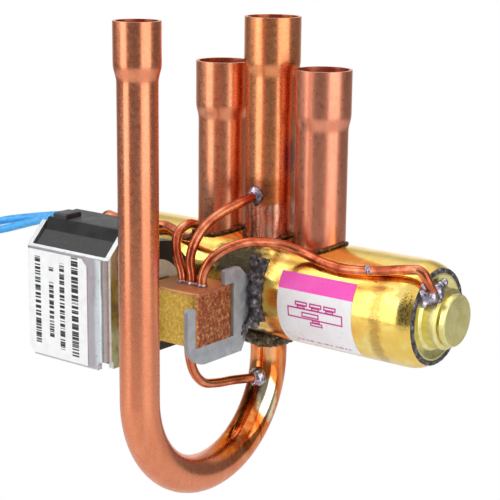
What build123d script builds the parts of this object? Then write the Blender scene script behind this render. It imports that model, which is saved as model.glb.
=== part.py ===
from build123d import *
from math import atan2, cos, pi, radians, sin, tan
import os

# Four way reversing valve of a heat pump, with its pilot valve and solenoid coil.
# The main cylinder lies along X.  The discharge pipe joins it from below and turns
# up in front, the other three pipes stand on top in line.  The pilot valve hangs in
# front of the cylinder, on a hook bracket, and carries the coil to the left.
# Millimetres.  The pieces are drawn about the middle of the cylinder and are put out
# with the origin in the mouth of the suction pipe, which is where the valve is held.

# ---- main cylinder ----
BODY_R = 13.35            # outside radius of the drawn brass tube
BODY_WALL = 1.2
BORE_R = BODY_R - BODY_WALL
FIT = 0.05                # running clearance, radial
STOP_GAP = 0.25           # left at the end of every travel
PITCH = 15.7              # between the three pipes in line
STROKE = PITCH
STUB_R = 6.5              # 13 mm tube
DISC = 1.5                # thickness of the piston discs
CUP = 1.2
CUP_LIP = 3.4
SEAT_HALF = PITCH + STUB_R + 0.6
PISTON_X = SEAT_HALF + STOP_GAP + STROKE / 2              # inner face, slide in the middle
CAP_INNER_X = PISTON_X + DISC + CUP_LIP + STOP_GAP + STROKE / 2   # the piston's stop
BODY_HALF = CAP_INNER_X + 6.3                             # half length over the rolled ends
ROLL_LENGTH = 4.7         # how much of each end is rolled inwards
ROLL_DEPTH = 1.45         # how far the rolled edge comes in
ROLL_R = (ROLL_LENGTH**2 + ROLL_DEPTH**2) / (2 * ROLL_DEPTH)
ROLL_X = BODY_HALF - ROLL_LENGTH

# ---- end caps ----
CAP_FACE_R = BODY_R - BODY_WALL - ROLL_DEPTH
CAP_FACE_X = BODY_HALF + 0.4
HUB_R = 7.5
HUB_X = CAP_FACE_X + 3.05
GROOVE_R = 5.8
FLANGE_R = 6.4
FLANGE_X = HUB_X + 1.05
CAP_END_X = FLANGE_X + 1.4

# ---- pipes ----
STUB_WALL = 0.75
STUB_SOCKET_R = 6.4       # takes 12.7 mm (1/2 in) tube
STUB_SOCKET_DEPTH = 11.6
STUB_SHOULDER = 2.8
STUB_FOOT_Z = BORE_R - 2.55   # where the pipes stand in the valve seat
TOP_S = 68.8
TOP_E = 56.7
TOP_C = 56.7
DIS_R = 4.765             # 9.53 mm (3/8 in) tube
DIS_WALL = 0.7
DIS_SOCKET_R = 4.83       # takes 9.53 mm tube
DIS_SOCKET_DEPTH = 10.2
DIS_SHOULDER = 3.0
DIS_TOP = 70.5
DIS_DROP = 5.4            # straight length under the cylinder
BEND_R = 25.3             # of the discharge pipe's U bend
DIS_ARM_Y = -2 * BEND_R
DIS_BEND_Z = -BODY_R - DIS_DROP
BRAZE = 0.75              # size of the braze fillets

# ---- valve seat, slide and pistons ----
SEAT_Z = 5.6              # sliding face
PORT_R = 4.4
SLIDE_GAP = 0.04          # film between the sliding faces
SLIDE_RIM = 1.9           # thickness of the slide's sealing rim
SLIDE_FLANGE = 2.1
SLIDE_HALF_WIDTH = 6.6
DOME_HALF_WIDTH = 5.6
DOME_DEPTH = 5.4
STRIP = 1.0               # stamped strip that joins the pistons
STRIP_HALF_WIDTH = 8.6
EAR_DROP = 8.0
EAR_HALF_WIDTH = 5.5
SCREW_Y = 3.4             # piston screws, beside and below the axis
SCREW_Z = -1.2
PISTON_SCREW_R = 1.25
SCREW_HEAD_R = 2.1
COVER_R = BORE_R - 3.65
SLIDE_X = -STROKE / 2     # at rest, against the left stop

# ---- pilot valve ----
BLOCK_X0, BLOCK_X1 = -12.0, 4.1
BLOCK_HALF_Y = 7.2
BLOCK_HALF_Z = 6.85
PILOT_Y = -BODY_R - 7.05 - BLOCK_HALF_Y
PILOT_Z = -2.15
CHAMBER_R = 4.6
CHAMBER_END = 1.7
PILOT_PITCH = 3.1         # between the three small ports
PILOT_STROKE = PILOT_PITCH
PILOT_SEAT_Z = 2.4        # above the pilot axis
PILOT_PORT_R = 0.6
SLIDE_TOP = PILOT_SEAT_Z - 0.05
PILOT_SLIDE_HALF = 2.5
PILOT_SLIDE_HEIGHT = 1.8
TUBE_R = 4.8              # plunger tube
TUBE_WALL = 0.5
TUBE_SOCKET = 2.0         # how far it stands in the block
PLUNGER_R = TUBE_R - TUBE_WALL - 0.1
PLUNGER_X0, PLUNGER_X1 = -26.0, -13.4
CORE_FACE_X = PLUNGER_X0 - PILOT_STROKE - 0.2
SPRING_R = 1.9            # to the middle of the wire
SPRING_WIRE = 0.45
SPRING_TURNS = 6
SPRING_POCKET = 6.5
SCREW_R = 1.75            # the coil's screw
SHADE_R0, SHADE_R1 = 2.8, 3.6

# ---- capillaries ----
CAPILLARY_R = 1.2         # 2.4 mm tube
CAPILLARY_BORE = 0.6
TAP_HUB_X = CAP_FACE_X + 1.6
TAP_DIR = (0, -0.6, 0.8)  # the way the capillaries leave the end caps

# ---- hook bracket ----
BRACKET_X1 = 4.0
BRACKET = 1.2

# ---- coil ----
FRAME = 1.5               # zinc plated steel
FRAME_X0, FRAME_X1 = -41.7, -13.8
FRAME_Y0 = PILOT_Y - 19.6
WEB_Z0, WEB_Z1 = PILOT_Z - 13.45, PILOT_Z + 14.35
LEG_Z0, LEG_Z1 = PILOT_Z - 13.05, PILOT_Z + 19.85
LEG_NOSE = TUBE_R + 1.8   # the legs' rounded backs, round the tube
COIL_GAP = 0.1
BOBBIN_R = TUBE_R + 0.15
WINDING_R0, WINDING_R1 = BOBBIN_R + 1.05, BOBBIN_R + 5.65
FLANGE = 1.0
LABEL = 0.15

# ---- leads ----
LEAD_R = 1.05
LEAD_PITCH = 2.2          # from turn to turn of the wound spare length
COIL_TURN_R = 11.6        # to the middle of its layers
COIL_RADIAL = 2 * LEAD_PITCH + 2 * LEAD_R
COIL_WIDTH = 2 * LEAD_PITCH
COIL_CENTRE = (-71.35, -50.2, -3.2)
COIL_SWEEP = 300
LEAD_EXIT_X = FRAME_X0 + 3.3   # face of the moulding's lead outlet
TIP_R = 0.55
TIP = 6.0


def over(x, lift, angle):
    """Point above the cylinder's skin, at an angle from the top towards the front."""
    r = BODY_R + lift
    return (x, -r * sin(radians(angle)), r * cos(radians(angle)))


def from_hub(end, r):
    """Point on the line on which a capillary leaves an end cap."""
    return (end * TAP_HUB_X, TAP_DIR[1] * r, TAP_DIR[2] * r)


# Each route runs through hand placed points, with a round bend at every one.
ROUTE_RIGHT = [(0, PILOT_Y, PILOT_Z + 3.75), (0, PILOT_Y, PILOT_Z + 9.5), (1.6, PILOT_Y + 0.7, 11.2),
               (4.0, PILOT_Y + 3.6, 13.9), (7.2, PILOT_Y + 7.8, 15.5), (11.2, -13.6, 15.0),
               over(16.5, 2.75, 37), over(23.2, 2.1, 42.9), over(29.0, 1.45, 44.7),
               over(34.6, 1.45, 43), over(39.8, 1.45, 39.6), over(CAP_FACE_X - 5.4, 1.95, 35.2),
               over(CAP_FACE_X, 2.35, 32), from_hub(1, HUB_R + 5), from_hub(1, HUB_R - 2.1)]
ROUTE_LEFT = [(-2 * PILOT_PITCH, PILOT_Y, PILOT_Z + 3.75), (-2 * PILOT_PITCH, PILOT_Y, PILOT_Z + 9.15),
              (-7.9, PILOT_Y + 0.2, 10.0), (-9.3, PILOT_Y + 0.9, 13.6), (-9.9, PILOT_Y + 2.7, 16.7),
              (-9.6, PILOT_Y + 6.2, 18.1), (-9.9, PILOT_Y + 9.8, 17.0), (-12.6, -14.6, 13.6),
              (-16.6, -12.0, 11.7), over(-20.6, 1.75, 42.6), over(-25.4, 1.8, 36),
              over(-29.2, 1.6, 31.8), over(-33.4, 1.5, 36.5), over(-39.0, 1.5, 38.5),
              over(5.6 - CAP_FACE_X, 1.6, 35), over(0.2 - CAP_FACE_X, 1.8, 32),
              from_hub(-1, HUB_R + 4.6), from_hub(-1, HUB_R - 2.1)]
TAP_S = (0, 0.4 - STUB_R, BODY_R + 10.65)
ROUTE_S = [(-PILOT_PITCH, PILOT_Y, PILOT_Z + 3.75), (-PILOT_PITCH, PILOT_Y, PILOT_Z + 9.15),
           (-4.2, PILOT_Y + 0.2, 10.0), (-4.1, PILOT_Y + 1.2, 13.7), (-3.6, PILOT_Y + 3.8, 17.3),
           (-3.0, PILOT_Y + 7.3, 19.7), (-2.0, PILOT_Y + 11.8, 21.7),
           (-0.4, TAP_S[1] - 4.9, TAP_S[2] - 0.8), TAP_S]
PORT_D_X = -4.2
ROUTE_D = [(PORT_D_X, PILOT_Y, PILOT_Z - 5.05), (PORT_D_X, PILOT_Y, PILOT_Z - 11.6),
           (-3.7, PILOT_Y + 1.3, DIS_BEND_Z - 0.1), (-3.2, PILOT_Y + 4.5, DIS_BEND_Z - 3.6),
           (-2.6, PILOT_Y + 9.6, DIS_BEND_Z - 4.6), (-1.7, PILOT_Y + 14.6, DIS_BEND_Z - 4.9),
           (-0.7, -DIS_R - 4.0, DIS_BEND_Z - 5.4), (0.55, -DIS_R - 0.53, DIS_BEND_Z - 5.6)]

# The two leads, from the outlet to the tied coil of spare length.
ROUTE_LEAD_1 = [(LEAD_EXIT_X + 1.2, -36.0, 18.9), (-44.8, -36.2, 17.5), (-52.6, -36.6, 16.0),
                (-60.4, -37.0, 14.3), (-67.3, -38.3, 12.0), (-72.45, -43.4, 10.6),
                (-72.45, -50.2, 10.6)]
ROUTE_LEAD_2 = [(LEAD_EXIT_X + 1.2, -38.4, 18.9), (-44.5, -38.6, 16.9), (-51.9, -39.0, 14.5),
                (-59.1, -39.4, 12.2), (-65.9, -40.0, 11.2), (-70.25, -44.2, 10.6),
                (-70.25, -50.2, 10.6)]


def turned(*points):
    """Solid of revolution about the cylinder's axis from (x, r) points."""
    return revolve(Plane.XZ * make_face(Polyline(*points, close=True)), Axis.X)


def upright(x, y, z0, z1, r):
    """Round bar standing along Z."""
    return Pos(x, y, (z0 + z1) / 2) * Cylinder(r, z1 - z0)


def along_x(x0, x1, r, y=0.0, z=0.0):
    """Round bar lying along X."""
    return Pos((x0 + x1) / 2, y, z) * Rot(0, 90, 0) * Cylinder(r, x1 - x0)


def block(x0, x1, y0, y1, z0, z1):
    """Box between two corners."""
    return Pos((x0 + x1) / 2, (y0 + y1) / 2, (z0 + z1) / 2) * Box(x1 - x0, y1 - y0, z1 - z0)


def plate_x(x0, x1, *points):
    """Plate across X from an outline of (y, z) points."""
    outline = make_face(Polyline(*[(x0, y, z) for y, z in points], close=True))
    return extrude(outline, amount=x1 - x0, dir=(1, 0, 0))


def mirrored(shape):
    """The same piece at the other end of the cylinder."""
    return mirror(shape, Plane.YZ)


# ---- main cylinder ----

def roll_point(inset, turn):
    """Point on the rolled end, inset below the outer skin."""
    return (ROLL_X + (ROLL_R - inset) * sin(turn), BODY_R - ROLL_R + (ROLL_R - inset) * cos(turn))


def roll_angle():
    return atan2(ROLL_LENGTH, ROLL_R - ROLL_DEPTH)


def rolled_edge(inset):
    """The curve of the rolled end as an arc, and its last point."""
    turn = roll_angle()
    start, middle, end = (roll_point(inset, turn * k / 2) for k in range(3))
    return ThreePointArc(start, middle, end), end


def body_tube():
    outer, outer_end = rolled_edge(0)
    inner, inner_end = rolled_edge(BODY_WALL)
    half = make_face(
        outer + inner
        + Line(outer_end, inner_end)
        + Line((ROLL_X, BODY_R), (0, BODY_R))
        + Line((0, BODY_R), (0, BORE_R))
        + Line((0, BORE_R), (ROLL_X, BORE_R))
    )
    right = revolve(Plane.XZ * half, Axis.X)
    tube = right + mirrored(right)
    for x in (-PITCH, 0, PITCH):
        tube -= upright(x, 0, 0, BODY_R + 1, STUB_R)
    return tube - upright(0, 0, -BODY_R - 1, 0, DIS_R)


def end_cap():
    curve, end = rolled_edge(BODY_WALL)
    profile = make_face(
        Polyline((ROLL_X, BORE_R), (CAP_INNER_X, BORE_R), (CAP_INNER_X, 0), (CAP_END_X, 0),
                 (CAP_END_X, FLANGE_R - 0.3), (CAP_END_X - 0.3, FLANGE_R), (FLANGE_X, FLANGE_R),
                 (FLANGE_X - 0.2, GROOVE_R), (HUB_X + 0.5, GROOVE_R), (HUB_X + 0.4, HUB_R - 0.9),
                 (HUB_X, HUB_R), (CAP_FACE_X, HUB_R), (CAP_FACE_X - 0.5, HUB_R + 0.8),
                 (CAP_FACE_X, CAP_FACE_R - 0.4), (CAP_FACE_X, CAP_FACE_R), end)
        + curve
    )
    cap = revolve(Plane.XZ * profile, Axis.X)
    cap -= along_x(CAP_INNER_X, TAP_HUB_X + CAPILLARY_BORE, 2 * CAPILLARY_BORE)
    cap -= along_x(CAP_INNER_X, CAP_INNER_X + 2.5, 3.4)
    tap = Plane(origin=(TAP_HUB_X, 0, 0), z_dir=TAP_DIR)
    cap -= tap * Pos(0, 0, HUB_R / 2 + 0.5) * Cylinder(CAPILLARY_BORE, HUB_R)
    return cap - tap * Pos(0, 0, 1.5 * HUB_R - 2.3) * Cylinder(CAPILLARY_R, HUB_R)


def end_weld():
    """Rough bead that closes the seam between rolled edge and cap."""
    outer_end = roll_point(0, roll_angle())
    inner_end = roll_point(BODY_WALL, roll_angle())
    return turned(inner_end, outer_end, (outer_end[0] + 0.45, outer_end[1] + 0.1),
                  (CAP_FACE_X + 0.2, CAP_FACE_R + 0.8), (CAP_FACE_X + 0.2, CAP_FACE_R + 0.1),
                  (CAP_FACE_X, CAP_FACE_R))


# ---- pipes ----

def socketed_pipe(radius, wall, socket_r, depth, shoulder, foot, top):
    """Straight tube along Z with its upper end opened out to a socket."""
    inner = radius - wall
    ledge = top - depth
    wall_up = socket_r + wall
    profile = Polyline(
        (inner, foot), (radius, foot), (radius, ledge - shoulder), (wall_up, ledge),
        (wall_up, top), (socket_r, top), (socket_r, ledge), (inner, ledge - shoulder), close=True)
    return revolve(Plane.XZ * make_face(profile), Axis.Z)


def stub(x, top):
    pipe = socketed_pipe(STUB_R, STUB_WALL, STUB_SOCKET_R, STUB_SOCKET_DEPTH, STUB_SHOULDER,
                         STUB_FOOT_Z, top)
    return Pos(x, 0, 0) * pipe


def tap_bore(points):
    """Hole in a pipe's wall for the end of a capillary."""
    end, before = Vector(*points[-1]), Vector(*points[-2])
    return Plane(origin=end, z_dir=(end - before).normalized()) * Cylinder(CAPILLARY_R, 1.6)


def pipe_s():
    """Suction pipe, in the middle, tapped for the pilot's return."""
    return stub(0, TOP_S) - tap_bore(ROUTE_S)


def pipe_d():
    """Discharge pipe: out of the cylinder downwards, round the U bend and up in front."""
    ring = Circle(DIS_R) - Circle(DIS_R - DIS_WALL)
    rise = extrude(Pos(0, 0, DIS_BEND_Z) * ring, -BORE_R + 1.0 - DIS_BEND_Z)
    bend = revolve(Pos(0, 0, DIS_BEND_Z) * ring, Axis((0, -BEND_R, DIS_BEND_Z), (-1, 0, 0)), 180)
    arm = Pos(0, DIS_ARM_Y, 0) * socketed_pipe(
        DIS_R, DIS_WALL, DIS_SOCKET_R, DIS_SOCKET_DEPTH, DIS_SHOULDER, DIS_BEND_Z, DIS_TOP)
    return rise + bend + arm - tap_bore(ROUTE_D)


def braze_saddle(x):
    """Braze fillet round the foot of one upright pipe."""
    skirt = upright(x, 0, 0, BODY_R + 2, STUB_R + BRAZE)
    skirt &= along_x(-BODY_HALF, BODY_HALF, BODY_R + BRAZE)
    skirt -= along_x(-BODY_HALF, BODY_HALF, BODY_R)
    return skirt - upright(x, 0, 0, BODY_R + 3, STUB_R)


def braze_collar_d():
    """Thick braze collar where the discharge pipe enters from below."""
    collar = upright(0, 0, -BODY_R - 2.6, -BODY_R + 3.4, DIS_R + 1.2)
    collar = chamfer(collar.edges().group_by(Axis.Z)[0], 0.8)
    collar -= along_x(-BODY_HALF, BODY_HALF, BODY_R)
    return collar - upright(0, 0, -BODY_R - 4, 0, DIS_R)


# ---- valve seat, slide and pistons ----

def valve_seat():
    """Brass segment brazed under the three pipes, its flat face downwards."""
    seat = along_x(-SEAT_HALF, SEAT_HALF, BORE_R)
    seat &= block(-SEAT_HALF, SEAT_HALF, -BORE_R, BORE_R, SEAT_Z, BORE_R)
    for x in (-PITCH, 0, PITCH):
        seat -= upright(x, 0, SEAT_Z - 1, BORE_R, PORT_R)
        seat -= upright(x, 0, STUB_FOOT_Z, BORE_R + 1, STUB_R)
    return seat


def slide_half_length():
    """The cavity spans two ports, with a sealing rim round it."""
    return PITCH / 2 + PORT_R + SLIDE_RIM


def main_slide():
    """Nylon slide: a flat rim against the seat over a domed cavity."""
    top = SEAT_Z - SLIDE_GAP
    half = slide_half_length()
    flange = block(-half, half, -SLIDE_HALF_WIDTH, SLIDE_HALF_WIDTH, top - SLIDE_FLANGE, top)
    flange = fillet(flange.edges().filter_by(Axis.Z), 4.0)
    dome_half = half - 0.8
    dome = block(-dome_half, dome_half, -DOME_HALF_WIDTH, DOME_HALF_WIDTH,
                 top - SLIDE_FLANGE - DOME_DEPTH, top - SLIDE_FLANGE)
    dome = fillet(dome.edges().filter_by(Axis.Z), 3.6)
    dome = fillet(dome.edges().group_by(Axis.Z)[0], 3.0)
    inner_half = half - SLIDE_RIM
    inner_width = DOME_HALF_WIDTH - 1.2
    cavity = block(-inner_half, inner_half, -inner_width, inner_width, top - DOME_DEPTH, top)
    cavity = fillet(cavity.edges().filter_by(Axis.Z), 3.2)
    cavity = fillet(cavity.edges().group_by(Axis.Z)[0], 2.4)
    return Pos(SLIDE_X, 0, 0) * (flange + dome - cavity)


def strip_top():
    return SEAT_Z - SLIDE_GAP - SLIDE_FLANGE - 0.15


def slide_frame():
    """Stamped strip that drags the slide, with an ear bent down at each piston."""
    top = strip_top()
    strip = block(-PISTON_X, PISTON_X, -STRIP_HALF_WIDTH, STRIP_HALF_WIDTH, top - STRIP, top)
    strip = fillet(strip.edges().filter_by(Axis.Z), 1.5)
    half = slide_half_length() - 0.8 + 0.1
    width = DOME_HALF_WIDTH + 0.1
    window = block(-half, half, -width, width, top - 2, top + 1)
    strip -= fillet(window.edges().filter_by(Axis.Z), 3.7)
    for x in (-PITCH * 1.5, PITCH * 1.5):
        strip -= upright(x, 0, top - 2, top + 1, PORT_R)
    for end in (-1, 1):
        ear_x = end * (PISTON_X - STRIP / 2)
        ear = block(ear_x - STRIP / 2, ear_x + STRIP / 2, -EAR_HALF_WIDTH, EAR_HALF_WIDTH,
                    top - EAR_DROP, top)
        for y in (-SCREW_Y, SCREW_Y):
            ear -= along_x(ear_x - STRIP, ear_x + STRIP, PISTON_SCREW_R, y, SCREW_Z)
        strip += ear
    return Pos(SLIDE_X, 0, 0) * strip


def drilled(disc, x0, x1):
    """Two screw holes through a piston piece."""
    for y in (-SCREW_Y, SCREW_Y):
        disc -= along_x(x0 - 1, x1 + 1, PISTON_SCREW_R, y, SCREW_Z)
    return disc


def piston_plate():
    """Inner disc, against the strip's ear."""
    x0 = PISTON_X
    return Pos(SLIDE_X, 0, 0) * drilled(along_x(x0, x0 + DISC, BORE_R - 0.6), x0, x0 + DISC)


def piston_seal():
    """Cup of filled plastic whose lip runs on the cylinder."""
    x0 = PISTON_X + DISC
    cup = turned((x0, 0), (x0, BORE_R - 1.2), (x0 + 0.9, BORE_R - FIT), (x0 + CUP_LIP, BORE_R - FIT),
                 (x0 + CUP_LIP, BORE_R - FIT - 0.7), (x0 + CUP, BORE_R - FIT - 1.0), (x0 + CUP, 0))
    return Pos(SLIDE_X, 0, 0) * drilled(cup, x0, x0 + CUP)


def seal_spring():
    """Expander ring that presses the cup's lip outwards."""
    x0 = PISTON_X + DISC + CUP
    outer = BORE_R - FIT - 1.0
    inner = COVER_R + 0.1
    ring = turned((x0, inner), (x0, outer - 0.1), (x0 + 1.8, outer + 0.05), (x0 + 1.8, outer - 0.25),
                  (x0 + 0.3, outer - 0.5), (x0 + 0.3, inner))
    return Pos(SLIDE_X, 0, 0) * ring


def piston_cover():
    """Outer disc that clamps the cup."""
    x0 = PISTON_X + DISC + CUP
    return Pos(SLIDE_X, 0, 0) * drilled(along_x(x0, x0 + CUP, COVER_R), x0, x0 + CUP)


def piston_screws():
    """Four countersunk rivet screws, two in each piston."""
    x0 = PISTON_X - STRIP
    x1 = PISTON_X + DISC + 2 * CUP
    screws = []
    for end in (-1, 1):
        for y in (-SCREW_Y, SCREW_Y):
            shank = along_x(x0 - 0.8, x1, PISTON_SCREW_R, y, SCREW_Z)
            head = along_x(x1, x1 + 0.8, SCREW_HEAD_R, y, SCREW_Z)
            screw = shank + head
            screw = screw if end > 0 else mirrored(screw)
            screws.append(Pos(SLIDE_X, 0, 0) * screw)
    return Compound(children=screws)


# ---- pilot valve ----

def pilot(shape):
    """Put a piece drawn about the pilot's own axis in its place."""
    return Pos(0, PILOT_Y, PILOT_Z) * shape


def pilot_ports():
    return (-2 * PILOT_PITCH, -PILOT_PITCH, 0)


def pilot_body():
    """Brass block with the chamber bored in from the coil's side."""
    body = block(BLOCK_X0, BLOCK_X1, -BLOCK_HALF_Y, BLOCK_HALF_Y, -BLOCK_HALF_Z, BLOCK_HALF_Z)
    body = fillet(body.edges().filter_by(Axis.Z), 1.4)
    body = fillet(body.edges().group_by(Axis.Z)[-1], 0.3)
    body -= along_x(BLOCK_X0, CHAMBER_END, CHAMBER_R)
    body -= along_x(BLOCK_X0, BLOCK_X0 + TUBE_SOCKET, TUBE_R)
    for x in pilot_ports():
        body -= upright(x, 0, 0, BLOCK_HALF_Z + 1, CAPILLARY_R)
    body -= upright(PORT_D_X, 0, -BLOCK_HALF_Z - 1, 0, CAPILLARY_R)
    return pilot(body)


def pilot_seat():
    """Small brass seat with three ports in line."""
    x0, x1 = BLOCK_X0 + TUBE_SOCKET + 0.6, CHAMBER_END
    seat = along_x(x0, x1, CHAMBER_R)
    seat &= block(x0, x1, -CHAMBER_R, CHAMBER_R, PILOT_SEAT_Z, CHAMBER_R)
    for x in pilot_ports():
        seat -= upright(x, 0, PILOT_SEAT_Z - 1, CHAMBER_R + 1, PILOT_PORT_R)
        seat -= upright(x, 0, ROUTE_S[0][2] - PILOT_Z, CHAMBER_R + 1, CAPILLARY_R)
    return pilot(seat)


def pilot_slide():
    """Tiny slide that joins the return port to one of its neighbours."""
    x = -PILOT_PITCH / 2
    z0 = SLIDE_TOP - PILOT_SLIDE_HEIGHT
    body = block(x - PILOT_SLIDE_HALF, x + PILOT_SLIDE_HALF, -2.0, 2.0, z0, SLIDE_TOP)
    half = PILOT_PITCH / 2 + PILOT_PORT_R
    cup = block(x - half, x + half, -1.0, 1.0, SLIDE_TOP - 1.0, SLIDE_TOP)
    return pilot(body - fillet(cup.edges().filter_by(Axis.Z), 0.8))


def plunger():
    """Steel plunger with a flat nose that carries the pilot slide."""
    bar = along_x(PLUNGER_X0, PLUNGER_X1, PLUNGER_R)
    bar -= along_x(PLUNGER_X0, PLUNGER_X0 + SPRING_POCKET, SPRING_R + 0.6)
    nose_end = CHAMBER_END - 0.2
    nose = block(PLUNGER_X1, nose_end, -2.4, 2.4, -2.5, 0.1)
    slide_x0 = -PILOT_PITCH / 2 - PILOT_SLIDE_HALF
    slide_x1 = -PILOT_PITCH / 2 + PILOT_SLIDE_HALF
    back = block(slide_x0 - 1.2, slide_x0 - 0.05, -1.8, 1.8, 0.1, 1.7)
    front = block(slide_x1 + 0.05, nose_end, -1.8, 1.8, 0.1, 1.7)
    return pilot(bar + nose + back + front)


def slide_spring():
    """Bowed leaf that holds the pilot slide against its seat."""
    x = -PILOT_PITCH / 2
    z0, z1 = 0.1, SLIDE_TOP - PILOT_SLIDE_HEIGHT
    t = 0.18
    bow = make_face(
        ThreePointArc((x - 2.2, z0), (x, z1 - 0.02), (x + 2.2, z0))
        + Line((x + 2.2, z0), (x + 2.2 - 2 * t, z0))
        + ThreePointArc((x + 2.2 - 2 * t, z0), (x, z1 - 0.02 - t), (x - 2.2 + 2 * t, z0))
        + Line((x - 2.2 + 2 * t, z0), (x - 2.2, z0))
    )
    return pilot(Pos(0, 1.2, 0) * extrude(Plane.XZ * bow, 2.4))


def pilot_tube():
    """Stainless tube in which the plunger runs."""
    x0, x1 = FRAME_X0 + FRAME, BLOCK_X0 + TUBE_SOCKET
    return pilot(along_x(x0, x1, TUBE_R) - along_x(x0, x1, TUBE_R - TUBE_WALL))


def fixed_core():
    """Fixed iron core, tapped for the coil's screw and grooved for the shading ring."""
    core = along_x(FRAME_X0 + FRAME, CORE_FACE_X, TUBE_R - TUBE_WALL)
    core -= along_x(FRAME_X0 + FRAME, FRAME_X0 + FRAME + 7, SCREW_R)
    groove = along_x(CORE_FACE_X - 1.2, CORE_FACE_X, SHADE_R1)
    return pilot(core - (groove - along_x(CORE_FACE_X - 2, CORE_FACE_X, SHADE_R0)))


def shading_ring():
    ring = along_x(CORE_FACE_X - 1.2, CORE_FACE_X, SHADE_R1)
    return pilot(ring - along_x(CORE_FACE_X - 2, CORE_FACE_X, SHADE_R0))


def plunger_spring():
    """Return spring between the core's face and the bottom of the plunger's pocket."""
    wire = SPRING_WIRE / 2
    x0 = CORE_FACE_X + wire
    x1 = PLUNGER_X0 + SPRING_POCKET - wire
    length = x1 - x0
    path = Pos(x0, 0, 0) * Rot(0, 90, 0) * Helix(length / SPRING_TURNS, length, SPRING_R)
    section = Plane(origin=path @ 0, z_dir=path % 0) * Circle(wire)
    return pilot(sweep(section, path, is_frenet=True))


# ---- capillaries ----

def bend_radii(points, share=0.45):
    """Largest round bend that the two runs at each point leave room for."""
    radii = []
    for before, here, after in zip(points, points[1:], points[2:]):
        a = Vector(*here) - Vector(*before)
        b = Vector(*after) - Vector(*here)
        half_turn = radians(a.get_angle(b)) / 2
        radii.append(share * min(a.length, b.length) / tan(half_turn))
    return radii


def route(points):
    return FilletPolyline(*points, radius=bend_radii(points))


def capillary(points):
    """Drawn copper capillary along its route."""
    path = route(points)
    section = Plane(origin=path @ 0, z_dir=path % 0) * (Circle(CAPILLARY_R) - Circle(CAPILLARY_BORE))
    return sweep(section, path)


def cleared(shape, points):
    """Cut a capillary's straight last run out of a piece round it."""
    end, before = Vector(*points[-1]), Vector(*points[-2])
    reach = (end - before).length
    cut = Plane(origin=(end + before) * 0.5, z_dir=(end - before).normalized())
    return shape - cut * Cylinder(CAPILLARY_R, reach)


def pilot_solder():
    """Three solder fillets where the capillaries enter the block's top."""
    top = PILOT_Z + BLOCK_HALF_Z
    beads = []
    for x in pilot_ports():
        cone = Pos(x, PILOT_Y, top + 0.4) * Cone(PILOT_PITCH / 2 - 0.04, CAPILLARY_R + 0.1, 0.8)
        beads.append(cone - upright(x, PILOT_Y, top - 1, top + 2, CAPILLARY_R))
    return Compound(children=beads)


def hub_solder():
    """Solder round the capillary on an end cap's hub."""
    tap = Plane(origin=(TAP_HUB_X, 0, 0), z_dir=TAP_DIR)
    bead = tap * Pos(0, 0, HUB_R + 0.55) * Cone(CAPILLARY_R + 0.8, CAPILLARY_R + 0.2, 1.5)
    bead -= along_x(CAP_FACE_X, HUB_X + 1, HUB_R)
    bead &= along_x(CAP_FACE_X + 0.1, HUB_X, HUB_R + 4)
    return bead - tap * Pos(0, 0, HUB_R) * Cylinder(CAPILLARY_R, 2 * HUB_R)


def s_tap_solder():
    """Wide solder blob on the suction pipe."""
    blob = Pos(*TAP_S) * scale(Sphere(2.4), (1, 0.8, 1.1))
    blob -= upright(0, 0, 0, TOP_S - 20, STUB_R)
    return cleared(blob, ROUTE_S)


def d_tap_solder():
    """Solder blob on the discharge pipe's bend."""
    blob = Pos(*ROUTE_D[-1]) * scale(Sphere(2.4), (1, 0.9, 1.15))
    pipe = revolve(Pos(0, 0, DIS_BEND_Z) * Circle(DIS_R),
                   Axis((0, -BEND_R, DIS_BEND_Z), (-1, 0, 0)), 60)
    return cleared(blob - pipe, ROUTE_D)


# ---- hook bracket ----

def pilot_bracket():
    """Steel hook plate welded to the cylinder, round the pilot block's end."""
    y0, y1 = PILOT_Y - BLOCK_HALF_Y, PILOT_Y + BLOCK_HALF_Y
    z0, z1 = PILOT_Z - BLOCK_HALF_Z, PILOT_Z + BLOCK_HALF_Z
    prong, strap = 3.0, 4.7
    x0 = BRACKET_X1 - BRACKET
    plate = plate_x(
        x0, BRACKET_X1,
        (y0, 1.4), (y0 - prong, 1.4), (y0 - prong, z0 - strap), (3.6 - BODY_R - 7.05, z0 - strap),
        (-BODY_R - 0.95, z0 - 0.3), (-BODY_R - 0.25, -5.2), (1.35 - BODY_R, -5.2),
        (2.85 - BODY_R, 3.4), (2.15 - BODY_R, 4.7), (-BODY_R - 2.05, 6.1), (-BODY_R - 4.45, z1 + 3.7),
        (y1 - 3.2, z1 + 3.7), (y1 - 3.2, z1), (y1 + 0.35, z1), (y1 + 0.35, z0), (y0, z0))
    along = plate.edges().filter_by(Axis.X)
    plate = fillet(along.sort_by(Axis.Y)[:4].sort_by(Axis.Z)[0], 7.0)
    plate = fillet(plate.edges().filter_by(Axis.X).sort_by(Axis.Z)[-2:], 0.9)
    tip = plate.edges().filter_by(Axis.X).filter_by_position(Axis.Z, 1.3, 1.5)
    plate = fillet(tip, 1.2)
    return plate - along_x(x0 - 1, BRACKET_X1 + 1, BODY_R)


def bracket_weld():
    """Rough weld along the bracket's foot."""
    bead = turned((BRACKET_X1, BODY_R), (BRACKET_X1, BODY_R + 1.0), (BRACKET_X1 + 1.6, BODY_R + 1.2),
                  (BRACKET_X1 + 3.0, BODY_R + 0.7), (BRACKET_X1 + 3.7, BODY_R))
    return bead & block(BRACKET_X1, BRACKET_X1 + 4, -BODY_R - 3, 4.5 - BODY_R, -6.6, 9.4)


# ---- coil ----

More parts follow.
